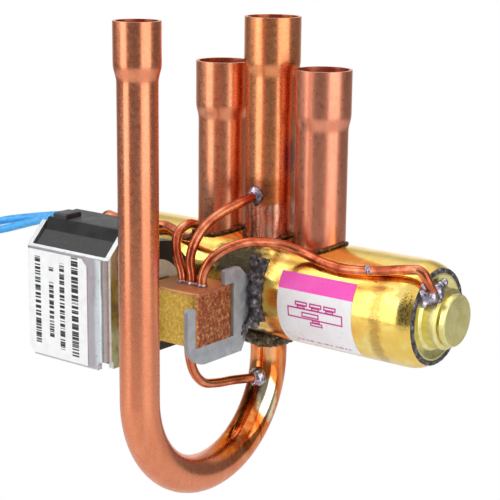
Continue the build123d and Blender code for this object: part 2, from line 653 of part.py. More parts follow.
def coil_frame():
    """Steel yoke: one plate folded round the moulding, its web to the front."""
    back = PILOT_Y + LEG_NOSE
    u_shape = make_face(Polyline(
        (FRAME_X0, back), (FRAME_X0, FRAME_Y0), (FRAME_X1, FRAME_Y0), (FRAME_X1, back),
        (FRAME_X1 - FRAME, back), (FRAME_X1 - FRAME, FRAME_Y0 + FRAME),
        (FRAME_X0 + FRAME, FRAME_Y0 + FRAME), (FRAME_X0 + FRAME, back), close=True))
    yoke = extrude(Pos(0, 0, WEB_Z0) * u_shape, LEG_Z1 - WEB_Z0)
    outer = yoke.edges().filter_by(Axis.Z).group_by(Axis.Y)[0]
    yoke = fillet(outer, 2.2)
    inner = yoke.edges().filter_by(Axis.Z).filter_by_position(
        Axis.Y, FRAME_Y0 + FRAME - 0.01, FRAME_Y0 + FRAME + 0.01)
    yoke = fillet(inner, 0.3)
    rise = LEG_Z1 - WEB_Z1
    yoke &= plate_x(
        FRAME_X0 - 1, FRAME_X1 + 1,
        (FRAME_Y0 - 1, WEB_Z0), (FRAME_Y0 - 1, WEB_Z1), (FRAME_Y0 + 1.0, WEB_Z1),
        (FRAME_Y0 + 1.0 + rise, LEG_Z1), (PILOT_Y - 7.5, LEG_Z1), (PILOT_Y - 1, PILOT_Z + LEG_NOSE),
        (PILOT_Y + LEG_NOSE / 2, PILOT_Z + LEG_NOSE), (back, PILOT_Z + LEG_NOSE / 2),
        (back, PILOT_Z - LEG_NOSE / 2), (PILOT_Y + LEG_NOSE / 2, PILOT_Z - LEG_NOSE),
        (PILOT_Y - 1, PILOT_Z - LEG_NOSE), (PILOT_Y - 7.5, LEG_Z0), (FRAME_Y0 + 2.4, LEG_Z0),
        (FRAME_Y0 + 2.4, WEB_Z0))
    for x0, x1 in ((FRAME_X0 - 1, FRAME_X0 + 3.0), (FRAME_X1 - 3.0, FRAME_X1 + 1)):
        relief = block(x0, x1, FRAME_Y0 - 1, FRAME_Y0 + 2.4, WEB_Z0 - 1, WEB_Z0 + 2.3)
        yoke -= chamfer(relief.edges().filter_by(Axis.Y).group_by(Axis.Z)[-1], 0.9)
    yoke -= along_x(FRAME_X1 - 2, FRAME_X1 + 1, TUBE_R + 0.1, PILOT_Y, PILOT_Z)
    return yoke - along_x(FRAME_X0 - 1, FRAME_X0 + 2, SCREW_R + 0.1, PILOT_Y, PILOT_Z)


def moulding_top():
    return LEG_Z1 + 0.9


def coil_moulding():
    """Black moulding round the winding, with bevelled shoulders and a flat head."""
    x0, x1 = FRAME_X0 + FRAME + COIL_GAP, FRAME_X1 - FRAME - COIL_GAP
    front = FRAME_Y0 + FRAME + COIL_GAP
    top = moulding_top()
    back = PILOT_Y + 13.3
    shape = plate_x(
        x0, x1, (front, LEG_Z0 + 3), (front, WEB_Z1 - 0.3), (front + 4.2, WEB_Z1 + 3.7),
        (front + 5.5, top), (PILOT_Y - 1.9, top + 0.4), (PILOT_Y - 0.9, PILOT_Z + 16.0),
        (PILOT_Y + 7.4, PILOT_Z + 14.7), (back, PILOT_Z + 8.15), (back, PILOT_Z - 6.85),
        (PILOT_Y + 9.1, LEG_Z0 - 0.1), (front + 3, LEG_Z0 - 0.1))
    shape = fillet(shape.edges().filter_by(Axis.X), 0.6)
    lug_y = FRAME_Y0 + 9.9
    lug = block(LEAD_EXIT_X, LEAD_EXIT_X + 4.5, lug_y - 2.7, lug_y + 2.7, top - 3, top + 1.35)
    shape += fillet(lug.edges().group_by(Axis.Z)[-1], 0.5)
    shape -= along_x(x0, x0 + FLANGE, WINDING_R1 + 0.4, PILOT_Y, PILOT_Z)
    shape -= along_x(x0, x1, WINDING_R1, PILOT_Y, PILOT_Z)
    shape -= along_x(x1 - FLANGE, x1, WINDING_R1 + 0.4, PILOT_Y, PILOT_Z)
    for points in (ROUTE_LEAD_1, ROUTE_LEAD_2):
        run = Plane(origin=points[0], z_dir=(Vector(*points[1]) - Vector(*points[0])).normalized())
        shape -= run * Pos(0, 0, 2) * Cylinder(LEAD_R, 4)
    return shape


def coil_bobbin():
    """Bobbin: a sleeve over the plunger tube with a flange at each end."""
    x0, x1 = FRAME_X0 + FRAME + COIL_GAP, FRAME_X1 - FRAME - COIL_GAP
    spool = along_x(x0, x1, WINDING_R0)
    for a in (x0, x1 - FLANGE):
        spool += along_x(a, a + FLANGE, WINDING_R1 + 0.4)
    return pilot(spool - along_x(x0 - 1, x1 + 1, BOBBIN_R))


def coil_winding():
    x0, x1 = FRAME_X0 + FRAME + COIL_GAP + FLANGE, FRAME_X1 - FRAME - COIL_GAP - FLANGE
    return pilot(along_x(x0, x1, WINDING_R1) - along_x(x0, x1, WINDING_R0))


def coil_washer():
    x1 = FRAME_X0
    return pilot(along_x(x1 - 0.8, x1, 4.2) - along_x(x1 - 1, x1, SCREW_R + 0.15))


def coil_screw():
    """Cross recessed screw that holds the coil on the core."""
    seat = FRAME_X0 - 0.8
    head = along_x(seat - 2.4, seat, 3.4)
    head = fillet(head.edges().group_by(Axis.X)[0], 1.2)
    screw = head + along_x(seat, FRAME_X0 + FRAME + 6, SCREW_R)
    for w, h in ((0.8, 3.6), (3.6, 0.8)):
        screw -= block(seat - 3, seat - 1.0, -w / 2, w / 2, -h / 2, h / 2)
    return pilot(screw)


def coil_label():
    """Stiff label on the web, two of its corners clipped."""
    x0, x1 = FRAME_X0 + FRAME, FRAME_X1 - 6.2
    z0, z1 = WEB_Z0 + 0.5, WEB_Z1 - 0.4
    clip = 1.6
    face = make_face(Polyline(
        (x0 + clip, z0), (x1, z0), (x1, z1 - clip), (x1 - clip, z1), (x0, z1), (x0, z0 + clip),
        close=True))
    return Pos(0, FRAME_Y0, 0) * extrude(Plane.XZ * face, LABEL)


def body_label():
    """Foil label wrapped on the front of the cylinder."""
    x0, x1, below, above = PITCH - 3.2, PITCH + 18.8, -56, 34.5
    strip = Polyline((x0, BODY_R), (x1, BODY_R), (x1, BODY_R + LABEL), (x0, BODY_R + LABEL),
                     close=True)
    wrap = revolve(Plane.XZ * make_face(strip), Axis.X, above - below)
    return Rot(90 - above, 0, 0) * wrap


# ---- leads ----

def lead(points):
    path = route(points)
    tube = sweep(Plane(origin=path @ 0, z_dir=path % 0) * Circle(LEAD_R), path)
    radii = ", ".join(f"{r:.1f}" for r in bend_radii(points))
    print(f"lead: {path.length:.1f} mm, volume {tube.volume / (pi * LEAD_R**2):.1f}, radii {radii}")
    return tube


def coil_ring(radial, width, sweep_angle):
    """Band of a coil about an axis along X, starting at its top."""
    cx, cy, cz = COIL_CENTRE
    section = Plane.XZ.offset(-cy) * Pos(cx, cz + COIL_TURN_R) * RectangleRounded(width, radial, 1.0)
    return revolve(section, Axis((cx, cy, cz), (1, 0, 0)), sweep_angle)


def lead_coil():
    """Spare length of both leads, wound and tied, as one closed solid."""
    return coil_ring(COIL_RADIAL, COIL_WIDTH, COIL_SWEEP)


def lead_tie():
    """Cable tie round the coil's lowest turn."""
    cx, cy, cz = COIL_CENTRE
    band = 0.9
    z = cz - COIL_TURN_R
    loop = block(cx - COIL_WIDTH / 2 - band, cx + COIL_WIDTH / 2 + band, cy - 1.2, cy + 1.2,
                 z - COIL_RADIAL / 2 - band, z + COIL_RADIAL / 2 + band)
    loop = fillet(loop.edges().filter_by(Axis.Y), 1.2)
    lock = block(cx + COIL_WIDTH / 2, cx + COIL_WIDTH / 2 + 2.4, cy - 1.8, cy + 1.8, z - 1.8, z + 1.8)
    return loop + lock - coil_ring(COIL_RADIAL, COIL_WIDTH, 359)


def lead_tip(side):
    """Stripped and tinned end of one lead."""
    cx, cy, cz = COIL_CENTRE
    turn, r = radians(COIL_SWEEP), COIL_TURN_R - LEAD_PITCH
    along = Vector(0, -cos(turn), -sin(turn))
    start = Vector(cx + side * LEAD_PITCH / 2, cy - r * sin(turn), cz + r * cos(turn))
    return Plane(origin=start + along * (TIP / 2), z_dir=along) * Cylinder(TIP_R, TIP)


def build():
    """Every piece by its node name, drawn about the middle of the cylinder."""
    return {
        "body_tube": body_tube(),
        "end_cap_left": mirrored(end_cap()),
        "end_cap_right": end_cap(),
        "end_weld_left": mirrored(end_weld()),
        "end_weld_right": end_weld(),
        "pipe_d": pipe_d(),
        "pipe_e": stub(-PITCH, TOP_E),
        "pipe_s": pipe_s(),
        "pipe_c": stub(PITCH, TOP_C),
        "braze_collar_d": braze_collar_d(),
        "braze_saddle_e": braze_saddle(-PITCH),
        "braze_saddle_s": braze_saddle(0),
        "braze_saddle_c": braze_saddle(PITCH),
        "valve_seat": valve_seat(),
        "main_slide": main_slide(),
        "slide_frame": slide_frame(),
        "piston_plate_right": piston_plate(),
        "piston_plate_left": Pos(2 * SLIDE_X, 0, 0) * mirrored(piston_plate()),
        "piston_seal_right": piston_seal(),
        "piston_seal_left": Pos(2 * SLIDE_X, 0, 0) * mirrored(piston_seal()),
        "seal_spring_right": seal_spring(),
        "seal_spring_left": Pos(2 * SLIDE_X, 0, 0) * mirrored(seal_spring()),
        "piston_cover_right": piston_cover(),
        "piston_cover_left": Pos(2 * SLIDE_X, 0, 0) * mirrored(piston_cover()),
        "piston_screws": piston_screws(),
        "pilot_body": pilot_body(),
        "pilot_seat": pilot_seat(),
        "pilot_slide": pilot_slide(),
        "slide_spring": slide_spring(),
        "plunger": plunger(),
        "plunger_spring": plunger_spring(),
        "pilot_tube": pilot_tube(),
        "fixed_core": fixed_core(),
        "shading_ring": shading_ring(),
        "capillary_d": capillary(ROUTE_D),
        "capillary_s": capillary(ROUTE_S),
        "capillary_left": capillary(ROUTE_LEFT),
        "capillary_right": capillary(ROUTE_RIGHT),
        "pilot_solder": pilot_solder(),
        "hub_solder_left": mirrored(hub_solder()),
        "hub_solder_right": hub_solder(),
        "s_tap_solder": s_tap_solder(),
        "d_tap_solder": d_tap_solder(),
        "pilot_bracket": pilot_bracket(),
        "bracket_weld": bracket_weld(),
        "coil_frame": coil_frame(),
        "coil_moulding": coil_moulding(),
        "coil_bobbin": coil_bobbin(),
        "coil_winding": coil_winding(),
        "coil_washer": coil_washer(),
        "coil_screw": coil_screw(),
        "coil_label": coil_label(),
        "body_label": body_label(),
        "lead_1": lead(ROUTE_LEAD_1),
        "lead_2": lead(ROUTE_LEAD_2),
        "lead_coil": lead_coil(),
        "lead_tie": lead_tie(),
        "lead_tip_1": lead_tip(-1),
        "lead_tip_2": lead_tip(1),
    }


os.makedirs("parts", exist_ok=True)
for node, shape in build().items():
    export_step(Pos(0, 0, -TOP_S) * shape, f"parts/{node}.step")
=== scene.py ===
from math import cos, pi, radians, sin

import bpy
from mathutils import Matrix, Vector


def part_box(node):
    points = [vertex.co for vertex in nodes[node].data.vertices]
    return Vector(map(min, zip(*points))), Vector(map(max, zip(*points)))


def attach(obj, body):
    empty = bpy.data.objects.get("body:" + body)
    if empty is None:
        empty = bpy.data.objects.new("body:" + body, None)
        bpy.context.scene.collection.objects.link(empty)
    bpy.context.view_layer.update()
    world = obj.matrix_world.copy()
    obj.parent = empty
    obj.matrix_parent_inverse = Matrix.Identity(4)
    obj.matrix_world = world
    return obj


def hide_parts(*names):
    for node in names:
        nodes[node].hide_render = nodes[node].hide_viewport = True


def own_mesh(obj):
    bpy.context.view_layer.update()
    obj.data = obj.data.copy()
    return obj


# Four way reversing valve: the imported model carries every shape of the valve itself, and this
# script gives the pieces their finish, models welds and solder, lays the leads, and sets up
# camera, floor and lamps.
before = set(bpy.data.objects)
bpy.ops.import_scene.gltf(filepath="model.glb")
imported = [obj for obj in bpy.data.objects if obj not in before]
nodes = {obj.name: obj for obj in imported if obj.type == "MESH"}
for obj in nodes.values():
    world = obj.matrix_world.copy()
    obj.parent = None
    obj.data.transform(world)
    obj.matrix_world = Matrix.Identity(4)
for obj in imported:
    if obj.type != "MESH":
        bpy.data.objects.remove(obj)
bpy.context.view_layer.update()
bpy.ops.object.select_all(action="DESELECT")


# ---- camera ----
# A long lens a little above the valve, turned so that the right hand end cap faces it.
LOOK_TURN = radians(37.64)
LOOK_DOWN = radians(13.41)
LOOK_ROLL = radians(0.60)
EYE = (0.21927, -0.29277, 0.02708)
lens = bpy.data.cameras.new("valve_camera")
lens.sensor_width = 36
lens.lens = 104.36
camera = bpy.data.objects.new("valve_camera", lens)
bpy.context.scene.collection.objects.link(camera)
camera.location = EYE
aim = (Matrix.Rotation(LOOK_TURN, 3, "Z") @ Matrix.Rotation(pi / 2 - LOOK_DOWN, 3, "X")
       @ Matrix.Rotation(LOOK_ROLL, 3, "Z"))
camera.rotation_euler = aim.to_euler()
bpy.context.scene.camera = camera


# ---- leads ----
# Two single core leads in blue PVC, out of the outlet on the coil's moulding.  The length that
# isn't in use is wound up side by side and tied, with the stripped ends tinned.
LEAD = 0.0021             # thickness
LEAD_PITCH = 0.0022       # from one layer of the coil to the next
WOUND_CENTRE = Vector((-0.07135, -0.0502, -0.0720))
WOUND_RADIUS = 0.0138     # outermost of the three layers
WOUND_STEP = radians(20)
WOUND_SWEEP = radians(2 * 360 + 300)
CORNER_CUT = 1.012        # the spline runs inside its points by this much
LEAD_ROUTES = {
    "blue_lead_1": [
        (-0.0372, -0.0360, -0.0499), (-0.0448, -0.0362, -0.0513), (-0.0526, -0.0366, -0.0528),
        (-0.0604, -0.0370, -0.0545), (-0.0673, -0.0383, -0.0568), (-0.07245, -0.0434, -0.0582),
        (-0.07245, -0.0502, -0.0582)],
    "blue_lead_2": [
        (-0.0372, -0.0384, -0.0499), (-0.0445, -0.0386, -0.0519), (-0.0519, -0.0390, -0.0543),
        (-0.0591, -0.0394, -0.0566), (-0.0659, -0.0400, -0.0576), (-0.07025, -0.0442, -0.0582),
        (-0.07025, -0.0502, -0.0582)],
}


def tone(red, green, blue):
    """A colour as a paint chart gives it, 0 to 255, turned into light."""
    return tuple((v / 255) ** 2.2 for v in (red, green, blue))


def finish(name, colour, metal, rough, **even):
    """A new finish, with the values that are the same all over set on the shader itself."""
    skin = bpy.data.materials.new(name)
    skin.use_nodes = True
    shader = skin.node_tree.nodes["Principled BSDF"]
    shader.inputs["Base Color"].default_value = (*colour, 1)
    shader.inputs["Metallic"].default_value = metal
    shader.inputs["Roughness"].default_value = rough
    for socket, value in even.items():
        shader.inputs[socket.replace("_", " ")].default_value = value
    return skin


def node(skin, kind, wires=None, **settings):
    """Add one shader node; wires name what feeds its inputs."""
    new = skin.node_tree.nodes.new("ShaderNode" + kind)
    for name, value in settings.items():
        if hasattr(new, name):
            setattr(new, name, value)
        else:
            new.inputs[name.replace("_", " ")].default_value = value
    for name, source in (wires or {}).items():
        skin.node_tree.links.new(source, new.inputs[name])
    return new


def into(skin, socket, source):
    """Feed a socket of a finish's shader."""
    skin.node_tree.links.new(source, skin.node_tree.nodes["Principled BSDF"].inputs[socket])


def place(skin, stretch=(1, 1, 1), origin=(0, 0, 0)):
    """The piece's own coordinates in metres, measured from origin, squeezed for a drawn grain."""
    here = node(skin, "TexCoord").outputs["Object"]
    shift = tuple(-a * b for a, b in zip(origin, stretch))
    return node(skin, "Mapping", {"Vector": here}, Scale=stretch, Location=shift).outputs["Vector"]


def cloud(skin, where, scale, detail=4.0, rough=0.55, warp=0.0):
    """Noise from 0 to 1 whose blots are about one part in scale of a metre."""
    return node(skin, "TexNoise", {"Vector": where}, Scale=scale, Detail=detail,
                Roughness=rough, Distortion=warp).outputs["Fac"]


def ramp(skin, source, *stops):
    """Colours along a value from 0 to 1."""
    new = node(skin, "ValToRGB", {"Fac": source})
    band = new.color_ramp
    while len(band.elements) < len(stops):
        band.elements.new(0.5)
    for element, (position, colour) in zip(band.elements, stops):
        element.position = position
        element.color = (*colour, 1)
    return new.outputs["Color"]


def between(skin, source, low, high, out_low=0.0, out_high=1.0, soft=True):
    """Turn the stretch from low to high of a value into another, held at its ends."""
    new = node(skin, "MapRange", {"Value": source}, From_Min=low, From_Max=high,
               To_Min=out_low, To_Max=out_high)
    new.interpolation_type = "SMOOTHSTEP" if soft else "LINEAR"
    return new.outputs["Result"]


def layered(skin, amount, under, over, how="MIX"):
    """One colour over another, by an amount."""
    new = node(skin, "Mix", data_type="RGBA", blend_type=how)
    for index, source in ((0, amount), (6, under), (7, over)):
        if isinstance(source, (int, float)):
            new.inputs[index].default_value = source
        elif isinstance(source, tuple):
            new.inputs[index].default_value = (*source, 1)
        else:
            skin.node_tree.links.new(source, new.inputs[index])
    return new.outputs[2]


def sum_of(skin, how, first, second=0.0):
    """Arithmetic on two values."""
    new = node(skin, "Math", operation=how)
    for index, source in enumerate((first, second)):
        if isinstance(source, (int, float)):
            new.inputs[index].default_value = source
        else:
            skin.node_tree.links.new(source, new.inputs[index])
    return new.outputs[0]


def dented(skin, height, depth):
    """Relief of that depth in metres, from a value of 0 to 1."""
    into(skin, "Normal", node(skin, "Bump", {"Height": height}, Strength=1.0,
                              Distance=depth).outputs["Normal"])


def dress(skin, *names):
    """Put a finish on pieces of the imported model."""
    for name in names:
        for holder in nodes[name].material_slots:
            holder.material = skin


blue_pvc = finish("blue_pvc", tone(42, 150, 226), 0.0, 0.38, Coat_Weight=0.15, Coat_Roughness=0.3)
grip = cloud(blue_pvc, place(blue_pvc), 900)
into(blue_pvc, "Base Color", ramp(blue_pvc, grip, (0.3, tone(40, 150, 228)), (0.7, tone(84, 184, 244))))
worn = cloud(blue_pvc, place(blue_pvc), 400)
into(blue_pvc, "Roughness", between(blue_pvc, worn, 0.3, 0.7, 0.3, 0.45))
dented(blue_pvc, cloud(blue_pvc, place(blue_pvc), 2600), 0.00002)

for name, route in LEAD_ROUTES.items():
    lane = route[-1][0]
    points = [Vector(p) for p in route]
    for step in range(1, round(WOUND_SWEEP / WOUND_STEP) + 1):
        turn = step * WOUND_STEP
        whole, part = divmod(turn / (2 * pi), 1)
        inwards = min(max(part * 6 - 5, 0), 1)   # the last sixth of a turn steps in by one layer
        radius = (WOUND_RADIUS - LEAD_PITCH * (whole + inwards)) * CORNER_CUT
        points.append(Vector((lane, WOUND_CENTRE.y - radius * sin(turn),
                              WOUND_CENTRE.z + radius * cos(turn))))
    line = bpy.data.curves.new(name, "CURVE")
    line.dimensions = "3D"
    line.resolution_u = 6
    line.bevel_depth = LEAD / 2
    line.bevel_resolution = 5
    line.use_fill_caps = True
    spline = line.splines.new("NURBS")
    spline.points.add(len(points) - 1)
    for control, point in zip(spline.points, points):
        control.co = (*point, 1)
    spline.order_u = 3
    spline.use_endpoint_u = True
    lead = bpy.data.objects.new(name, line)
    bpy.context.scene.collection.objects.link(lead)
    lead.data.materials.append(blue_pvc)
    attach(lead, "valve")
    if name == "blue_lead_1":
        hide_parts("lead_1", "lead_coil")
    else:
        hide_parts("lead_2")

tie_nylon = finish("tie_nylon", tone(226, 224, 214), 0.0, 0.45, Subsurface_Weight=0.1)
ribs = node(tie_nylon, "TexWave", {"Vector": place(tie_nylon)}, Scale=500, bands_direction="Z",
            Distortion=0.4)
into(tie_nylon, "Base Color", ramp(tie_nylon, cloud(tie_nylon, place(tie_nylon), 700),
                                   (0.3, tone(214, 212, 200)), (0.7, tone(236, 234, 226))))
dented(tie_nylon, ribs.outputs["Fac"], 0.00004)
dress(tie_nylon, "lead_tie")
tinned = finish("tinned_strands", tone(196, 196, 194), 1.0, 0.35)
strands = node(tinned, "TexWave", {"Vector": place(tinned)}, Scale=700, Distortion=2).outputs["Fac"]
into(tinned, "Base Color", ramp(tinned, strands, (0.2, tone(150, 148, 146)), (0.7, tone(212, 212, 210))))
dented(tinned, strands, 0.00008)
dress(tinned, "lead_tip_1", "lead_tip_2")


# ---- floor and lamps ----
# A plain pale floor, round and well below the hung valve, tall soft boxes in front and one
# overhead.  The room is bright behind the valve, dim behind the camera, and white to look at.
FLOOR_Z = -0.30
FLOOR_RADIUS = 0.92
bpy.ops.mesh.primitive_circle_add(vertices=96, radius=FLOOR_RADIUS, fill_type="NGON",
                                  location=(0, 0, FLOOR_Z))
floor = bpy.context.object
floor.name = "studio_floor"
floor.data.transform(floor.matrix_world)
floor.matrix_world = Matrix.Identity(4)
pale = finish("pale_floor", (0.80, 0.80, 0.80), 0.0, 0.9)
matt = pale.node_tree.nodes["Principled BSDF"]
white = node(pale, "Emission", Strength=1.0)
path = node(pale, "LightPath")
straight = sum_of(pale, "MAXIMUM", path.outputs["Is Camera Ray"], path.outputs["Is Transmission Ray"])
shown = node(pale, "MixShader", {"Fac": straight})
pale.node_tree.links.new(matt.outputs[0], shown.inputs[1])
pale.node_tree.links.new(white.outputs[0], shown.inputs[2])
pale.node_tree.links.new(shown.outputs[0], pale.node_tree.nodes["Material Output"].inputs[0])
floor.data.materials.append(pale)

room = bpy.data.worlds.new("studio")
bpy.context.scene.world = room
room.use_nodes = True
path = node(room, "LightPath")
across = node(room, "VectorMath", {0: node(room, "TexCoord").outputs["Generated"]},
              operation="DOT_PRODUCT")
across.inputs[1].default_value = (-sin(LOOK_TURN), cos(LOOK_TURN), 0)
# The walls brighten from square across the view, at 0, to straight beyond the valve, at 1.
walls = ramp(room, across.outputs["Value"], (0.0, (0.19,) * 3), (0.70, (0.24,) * 3),
             (0.90, (0.55,) * 3), (0.97, (1.0,) * 3))
heading = node(room, "SeparateXYZ", {"Vector": node(room, "TexCoord").outputs["Generated"]})
walls = layered(room, between(room, heading.outputs["Z"], 0.42, 0.70), walls, (0.95,) * 3)
lit = layered(room, path.outputs["Is Glossy Ray"], (0.62,) * 3, walls)
straight = sum_of(room, "MAXIMUM", path.outputs["Is Camera Ray"], path.outputs["Is Transmission Ray"])
room.node_tree.links.new(layered(room, straight, lit, (1.0, 1.0, 1.0)),
                         room.node_tree.nodes["Background"].inputs["Color"])

MIDDLE = Vector((0, -0.02, -0.06))    # of the valve, where the lamps point


def soft_box(name, side, distance, low, high, width, glow):
    """A tall lamp facing the valve, side degrees round from the camera, from low to high."""
    turn = LOOK_TURN + radians(side)
    spot = MIDDLE + Vector((sin(turn) * distance, -cos(turn) * distance, 0))
    spot.z = (low + high) / 2
    lamp = bpy.data.lights.new(name, "AREA")
    lamp.shape = "RECTANGLE"
    lamp.size, lamp.size_y = width, high - low
    lamp.energy = glow * pi * width * (high - low)
    holder = bpy.data.objects.new(name, lamp)
    bpy.context.scene.collection.objects.link(holder)
    holder.location = spot
    level = Vector((MIDDLE.x, MIDDLE.y, spot.z)) - spot
    holder.rotation_euler = level.to_track_quat("-Z", "Y").to_euler()
    return holder


soft_box("left_box", side=-61, distance=0.80, low=-0.25, high=0.52, width=0.42, glow=1.9)
soft_box("left_high_box", side=-88, distance=0.80, low=-0.04, high=0.90, width=0.42, glow=1.7)
soft_box("right_box", side=46, distance=0.80, low=-0.25, high=0.42, width=0.70, glow=1.75)
overhead = soft_box("top_box", side=200, distance=0.25, low=0.55, high=1.15, width=0.9, glow=1.2)
overhead.rotation_euler = (MIDDLE - overhead.location).to_track_quat("-Z", "Y").to_euler()


# ---- main cylinder ----
# A length of drawn brass tube, its ends rolled in over the seams of two turned brass caps.  It is
# bright where it was wiped, and stained where pipes were brazed and the bracket was welded on.
# Dark reflections of the copper and of the coil are painted on it too.
AXIS_Z = -0.0688          # of the cylinder
MERGE = 0.000002          # points nearer than this are one


def near(skin, centre, inner, outer, ragged=0.0, scale=500, stretch=(1, 1, 1)):
    """1 within inner of a point and 0 past outer, with an edge that wanders by ragged metres."""
    away = node(skin, "VectorMath", {0: place(skin, stretch, centre)}, operation="LENGTH")
    far = away.outputs["Value"]
    if ragged:
        edge = sum_of(skin, "SUBTRACT", cloud(skin, place(skin), scale, 5), 0.5)
        far = sum_of(skin, "ADD", far, sum_of(skin, "MULTIPLY", edge, ragged * 4))
    return between(skin, far, inner, outer, 1.0, 0.0)


def axes(skin):
    """The three coordinates of a point of the piece, in metres."""
    split = node(skin, "SeparateXYZ", {"Vector": place(skin)})
    return split.outputs["X"], split.outputs["Y"], split.outputs["Z"]


def round_cylinder(skin):
    """Metres along the cylinder, and degrees round it from the top towards the front."""
    split = node(skin, "SeparateXYZ", {"Vector": place(skin, origin=(0, 0, AXIS_Z))})
    front = sum_of(skin, "MULTIPLY", split.outputs["Y"], -1.0)
    turn = sum_of(skin, "ARCTAN2", front, split.outputs["Z"])
    return split.outputs["X"], sum_of(skin, "MULTIPLY", turn, 180 / pi)


def within(skin, value, low, high, blur):
    """1 where a value lies between low and high, 0 elsewhere."""
    rise = between(skin, value, low - blur, low + blur)
    fall = between(skin, value, high - blur, high + blur, 1.0, 0.0)
    return sum_of(skin, "MULTIPLY", rise, fall)


def part_of(skin, *amounts):
    """Several amounts from 0 to 1 multiplied together."""
    total = amounts[0]
    for amount in amounts[1:]:
        total = sum_of(skin, "MULTIPLY", total, amount)
    return total


brass = finish("drawn_brass", tone(248, 222, 120), 1.0, 0.20)
along, turn = round_cylinder(brass)
mottle = cloud(brass, place(brass), 220, 6, 0.6)
fleck = cloud(brass, place(brass), 2400, 3)
hue = ramp(brass, mottle, (0.30, tone(246, 200, 96)), (0.55, tone(251, 216, 116)),
           (0.72, tone(254, 232, 150)))
ragged = sum_of(brass, "MULTIPLY", cloud(brass, place(brass), 700, 5), 0.003)
ring_edge = sum_of(brass, "ADD", along, ragged)
ring = within(brass, ring_edge, 0.0410, 0.0440, 0.0009)
dots = between(brass, fleck, 0.42, 0.56, 0.70, 1.0)
hue = layered(brass, part_of(brass, ring, dots, within(brass, turn, 34, 160, 8), 0.62),
              hue, tone(160, 112, 66))
# Painted reflection: a golden brown patch on the brass behind the capillaries, for the copper reflected in
# it.
behind = near(brass, (0.0165, -0.0095, -0.0590), 0.001, 0.006, 0.002, 500, (0.5, 1, 1))
hue = layered(brass, part_of(brass, behind, 0.6), hue, tone(176, 112, 44))
below_weld = near(brass, (0.0105, -0.0105, -0.0760), 0.002, 0.006, 0.002, 700)
hue = layered(brass, part_of(brass, below_weld, 0.7), hue, tone(190, 112, 52))
# A dark grey patch on the brass above the block, rougher than the rest.
dark_grey_patch = near(brass, (-0.0020, -0.0108, -0.0608), 0.004, 0.0078, 0.0016, 500, (0.7, 1, 1))
hue = layered(brass, part_of(brass, dark_grey_patch, between(brass, fleck, 0.3, 0.6, 0.9, 0.98)),
              hue, tone(66, 62, 58))
foot = near(brass, (0.0, -0.0030, -0.0815), 0.007, 0.0105, 0.002, 700)
hue = layered(brass, part_of(brass, foot, 0.8), hue, tone(104, 72, 44))
# Painted reflection: a dark olive patch on the brass near the coil end, for the dark coil reflected there.
left_dark_reflection = near(brass, (-0.0262, -0.0105, -0.0620), 0.002, 0.0065, 0.001, 500, (0.8, 1, 1))
hue = layered(brass, part_of(brass, left_dark_reflection, 0.85), hue, tone(66, 66, 40))
specks = part_of(brass, within(brass, along, 0.0476, 0.0497, 0.0004), within(brass, turn, 52, 92, 8),
                 between(brass, fleck, 0.45, 0.60))
hue = layered(brass, part_of(brass, specks, 0.75), hue, tone(86, 78, 44))
into(brass, "Base Color", hue)
worn = between(brass, cloud(brass, place(brass, (0.25, 1, 1)), 900), 0.3, 0.7, 0.13, 0.24)
into(brass, "Roughness", sum_of(brass, "ADD", worn, part_of(brass, dark_grey_patch, 0.35)))
dented(brass, sum_of(brass, "ADD", fleck, part_of(brass, mottle, 3.0)), 0.000012)
dress(brass, "body_tube")

cap_brass = finish("turned_brass", tone(232, 218, 132), 1.0, 0.32)
lathe = node(cap_brass, "TexWave", {"Vector": place(cap_brass, origin=(0, 0, AXIS_Z))}, Scale=900,
             wave_type="RINGS", rings_direction="X", Distortion=1.5).outputs["Fac"]
blot = cloud(cap_brass, place(cap_brass), 420, 5)
hue = ramp(cap_brass, blot, (0.30, tone(226, 214, 134)), (0.60, tone(245, 234, 164)),
           (0.75, tone(250, 244, 194)))
specks = between(cap_brass, cloud(cap_brass, place(cap_brass), 1700, 3), 0.64, 0.74, 0, 0.5)
hue = layered(cap_brass, specks, hue, tone(146, 132, 66))
into(cap_brass, "Base Color", hue)
into(cap_brass, "Roughness", between(cap_brass, blot, 0.3, 0.7, 0.26, 0.40))
dented(cap_brass, lathe, 0.000006)
dress(cap_brass, "end_cap_left", "end_cap_right")


def merged_copy(name, source):
    """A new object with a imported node's mesh, its loose triangles joined up."""
    piece = bpy.data.objects.new(name, nodes[source].data.copy())
    bpy.context.scene.collection.objects.link(piece)
    bpy.ops.object.select_all(action="DESELECT")
    piece.select_set(True)
    bpy.context.view_layer.objects.active = piece
    bpy.ops.object.mode_set(mode="EDIT")
    bpy.ops.mesh.select_all(action="SELECT")
    bpy.ops.mesh.remove_doubles(threshold=MERGE)
    bpy.ops.object.mode_set(mode="OBJECT")
    return piece


def stand_in(piece, source, skin):
    """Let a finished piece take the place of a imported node."""
    piece.data.materials.clear()
    piece.data.materials.append(skin)
    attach(piece, "valve")
    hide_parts(source)


def knobble(piece, grain, lump, height):
    """Close a bead up with even faces of that grain, and push lumps of that size in and out."""
    close = piece.modifiers.new("close", "REMESH")
    close.mode = "VOXEL"
    close.voxel_size = grain
    lumps = bpy.data.textures.new(piece.name + "_lumps", "CLOUDS")
    lumps.noise_scale = lump
    lumps.noise_depth = 3
    push = piece.modifiers.new("push", "DISPLACE")
    push.texture = lumps
    push.texture_coords = "LOCAL"
    push.strength = height
    push.mid_level = 0.45
    rub = piece.modifiers.new("rub", "SMOOTH")
    rub.factor = 0.5
    rub.iterations = 4
    for modifier in ("close", "push", "rub"):
        bpy.ops.object.modifier_apply(modifier=modifier)
    bpy.ops.object.shade_smooth()


def bead(name, source, skin, grain, lump, height):
    """A weld or solder bead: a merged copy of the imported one, closed up and made lumpy."""
    piece = merged_copy(name, source)
    knobble(piece, grain, lump, height)
    stand_in(piece, source, skin)


